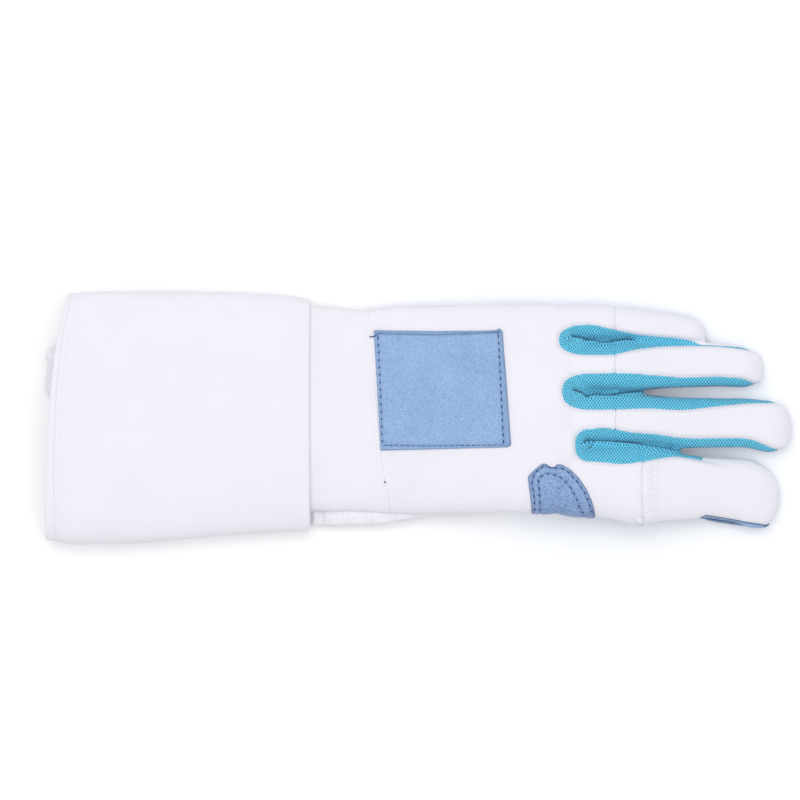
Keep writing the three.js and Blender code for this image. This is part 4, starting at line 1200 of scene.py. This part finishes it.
half = 6.2
a = round_angles(GUSSET_SIDES)
rings = []
for v in np.arange(-38, 51, 0.7):
    high = float(follow([-38, -30, 0, 25, 51], [7.2, 7.4, 7.2, 6.4, 4], v))
    pucker = 0.22 * np.sin(v * 2.1 + 2 * np.sin(a)) + 0.3 * np.sin(v * 0.55 + 3 * np.sin(a))
    bunch = 1.3 * near(v + 32.5, 1.5) - 0.9 * near(v + 29.5, 1.0)
    middle = 1.2 + float(bed(v, -48.0)) + high / 2
    rise = high / 2 + (pucker + bunch) * (np.sin(a) > 0)
    across = (half + 0.25 * pucker) * bend(np.cos(a), GUSSET_SQUARE)
    rings.append(np.stack([np.full(GUSSET_SIDES, v), gusset_edge(v) + half + across,
                           middle + rise * bend(np.sin(a), GUSSET_SQUARE)], 1))
gusset, gusset_tree = tube_piece("wrist_under_layer", *tube(rings), white_cuff, "wrist_gusset")
sewn_x = np.arange(-31, 36, 1.0)
gusset_rows = []
for inset in (1.5, 4.4):
    gusset_rows += zigzag(np.stack([sewn_x, gusset_edge(sewn_x) + inset], 1), 2.0, 2.4)
sew("wrist_zigzag_low", gusset_rows, None, None, 0.2, gusset_tree, white_thread, seed=13)

# The end of the under-layer that shows past the mouth.
TAB_EDGE = [(-146, 34), (-161, 33.6), (-164.2, 32.6), (-166.2, 30.4), (-166.8, 27.6), (-165.9, 25),
            (-166.3, 20.6), (-167.2, 15.5), (-167.4, 11.6), (-166, 8.6), (-164.5, 5.6), (-161.5, 4.8),
            (-146, 4.4)]
TAB_ROW = [(-165, 30.5), (-164.4, 20), (-165.6, 12), (-163.8, 7)]
gx, gy = np.meshgrid(np.arange(-170, -146, 0.5), np.arange(3, 36, 0.5), indexing="ij")
flat = np.stack([gx.ravel(), gy.ravel(), np.zeros(gx.size)], 1)
index = np.arange(gx.size).reshape(gx.shape)
a, b, c, d = (part.ravel() for part in (index[:-1, :-1], index[1:, :-1], index[1:, 1:], index[:-1, 1:]))
tab_in = outline_distance(TAB_EDGE, flat[:, :2])
halves = np.concatenate([np.stack([a, b, c], 1), np.stack([a, c, d], 1)])
co, tris, inward = clip(flat, halves, tab_in, [tab_in[:, None]])
co[:, 0] -= 0.8
slope = 0.6 * np.clip(co[:, 0] + 168, 0, 9)
ripple = 0.35 * np.sin(co[:, 1] * 0.8) + 0.2 * np.sin(co[:, 0])
co[:, 2] = 6.6 + 0.9 * rounded(inward[:, 0], 1.2) + slope + ripple
tab = dress(thicken(new_object("mouth_under_layer", co, tris), 1.6), white_cuff, "mouth_tab")
tab_sewn = sew("mouth_under_stitches", [TAB_ROW], 1.8, 1.2, 0.15, tree_of(co, tris), white_thread, seed=14)

# Cover stitches over the wrist seam, over the band across the index finger and over the other knuckle seams.
seam_y = np.linspace(46, -48, 90)
wrist_rows = zigzag(np.stack([wrist_skew(0.0, seam_y) - 2.6, seam_y], 1), 3.6, 2.3)
sew("wrist_zigzag", wrist_rows, None, None, 0.16, sleeve_tree, white_thread, seed=15)
tape_y = np.linspace(-26, -54.5, 50)
tape_x = 134.6 + 0.03 * (tape_y + 26)
tape_rows = zigzag(np.stack([tape_x, tape_y], 1), 5.4, 2.4)
sew("index_zigzag", tape_rows, None, None, 0.27, finger_trees[3], white_thread, seed=16)
seam_x = 119.4
for i, (high, low) in enumerate([(45, 38.2), (31, 14.5), (1.8, -9)]):
    rows = zigzag([(seam_x, high), (seam_x, low)], 2.4, 2.1)
    sew(f"knuckle_zigzag_{FINGERS[i]['name']}", rows, None, None, 0.12, finger_trees[i], white_thread,
        sunk=0.02, seed=17 + i)

# The hand panel's raw corner at the index finger, a loose thread by the square, and a dark knot at the wrist.
corner = np.array([(125.5, -53.6), (131, -53), (131.1, -57.2), (129.6, -57.5), (127.5, -55.4)])
top = float(surface(back_tree, 128, -52.5)[0][2])
co = np.column_stack([corner, top - 1.6 - 0.5 * np.array([0, 0, 2, 2, 1])])
dress(thicken(new_object("raw_corner", co, [tuple(range(5))]), 0.9), white)
THREAD_RADIUS = 0.28
a = round_angles(10)
way_round = THREAD_RADIUS * np.cos(a), THREAD_RADIUS * np.sin(a)
rings = []
for px, py in [(-5.2, 36.9), (-4.4, 37.2), (-3.5, 37.1), (-2.6, 37.5), (-1.6, 37.8)]:
    found = [surface(tree, px, py) for tree in (sleeve_tree, back_tree, square_tree)]
    lying = max(hit[0][2] for hit in found if hit) + 0.4
    rings.append(np.stack([np.full(10, px), py + way_round[0], lying + way_round[1]], 1))
dress(new_object("thread_end", *tube(rings)), blue_thread)
sew("thread_knot", [[(2.1, -35.5), (2.9, -35.5)]], 0.9, 1.0, 0.42, back_tree, blue_thread)


# Cloth pieces, with their flat width and length, how each is held, what it rests on and its stitches. Only
# the sizes go to sheet(), which makes nothing from them.
def sheet(obj, width, length):
    """The piece's mesh, with its modifiers, is made and removed again. width by length, in millimetres,
    has half the area of the shell that was built.
    """
    mesh = evaluated_mesh(obj)
    bpy.data.meshes.remove(mesh)
    width / MM
    length / MM


for made, width, length, held, rests_on, with_pieces in [
    (cuff, 284, 142, "folded", ["sleeve_tube"], [hem_over, hem_under]),
    (sleeve, 246, 168, "laid", ["wrist_under_layer"], []),
    (tab, 31, 24, "laid", ["sleeve_tube"], [tab_sewn]),
    (square_piece, 68, 62, "laid", ["back_of_hand"], square_sewn),
    (root_piece, 36, 38, "laid", ["back_of_hand"], [root_sewn]),
    (palm, 208, 120, "stretched", ["back_of_hand"], []),
    (strips[0], 130, 16, "stretched", ["back_of_little", "back_of_ring"], []),
    (strips[1], 200, 20, "stretched", ["back_of_ring", "back_of_middle"], []),
    (strips[2], 150, 22, "stretched", ["back_of_middle", "back_of_index"], []),
    (thumb_inner, 80, 38, "stretched", ["thumb_under"], []),
]:
    sheet(made, width, length)

# Floor, light and camera
bpy.ops.mesh.primitive_plane_add(size=6)
floor = bpy.context.object
floor.name = "floor"
floor.location.z = -0.0003
plain = Recipe("floor", Base_Color=(0.97, 0.97, 0.97, 1), Roughness=1, Emission_Color=(1, 1, 1, 1),
               Emission_Strength=0.04)
floor.data.materials.append(plain.material)
floor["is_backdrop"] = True

world = scene.world or bpy.data.worlds.new("studio")
scene.world = world
world.use_nodes = True
world.node_tree.nodes["Background"].inputs["Color"].default_value = (0.97, 0.98, 1, 1)
world.node_tree.nodes["Background"].inputs["Strength"].default_value = 0.50


def area_light(name, place, aim, size, power):
    """A round soft light, in metres and watts."""
    light = bpy.data.lights.new(name, "AREA")
    light.shape = "DISK"
    light.size = size
    light.energy = power
    made = bpy.data.objects.new(name, light)
    made.location = place
    made.rotation_euler = (Vector(aim) - Vector(place)).to_track_quat("-Z", "Y").to_euler()
    scene.collection.objects.link(made)


area_light("top", (0.1, 0.2, 3.0), (0, 0, 0), 2.6, 39.5)
area_light("key", (-0.4, 0.9, 1.6), (0, 0, 0), 1.0, 4.5)
area_light("fill", (0.9, -0.4, 1.4), (0, 0, 0), 1.4, 2.4)
area_light("side", (-1.7, -0.1, 0.9), (-0.16, 0, 0), 0.9, 2.2)

# The camera looks straight down, and its frame is 0.4 m wide at the glove's middle height.
DISTANCE = 2.6
MIDDLE_HEIGHT = 0.018
SENSOR = 36
camera = bpy.data.objects.new("camera", bpy.data.cameras.new("camera"))
camera.data.sensor_width = SENSOR
camera.data.lens = SENSOR * (DISTANCE - MIDDLE_HEIGHT) / 0.4
camera.location = (-0.0102, 0.0088, DISTANCE)
scene.collection.objects.link(camera)
scene.camera = camera
scene.view_settings.view_transform = "Standard"

low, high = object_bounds()
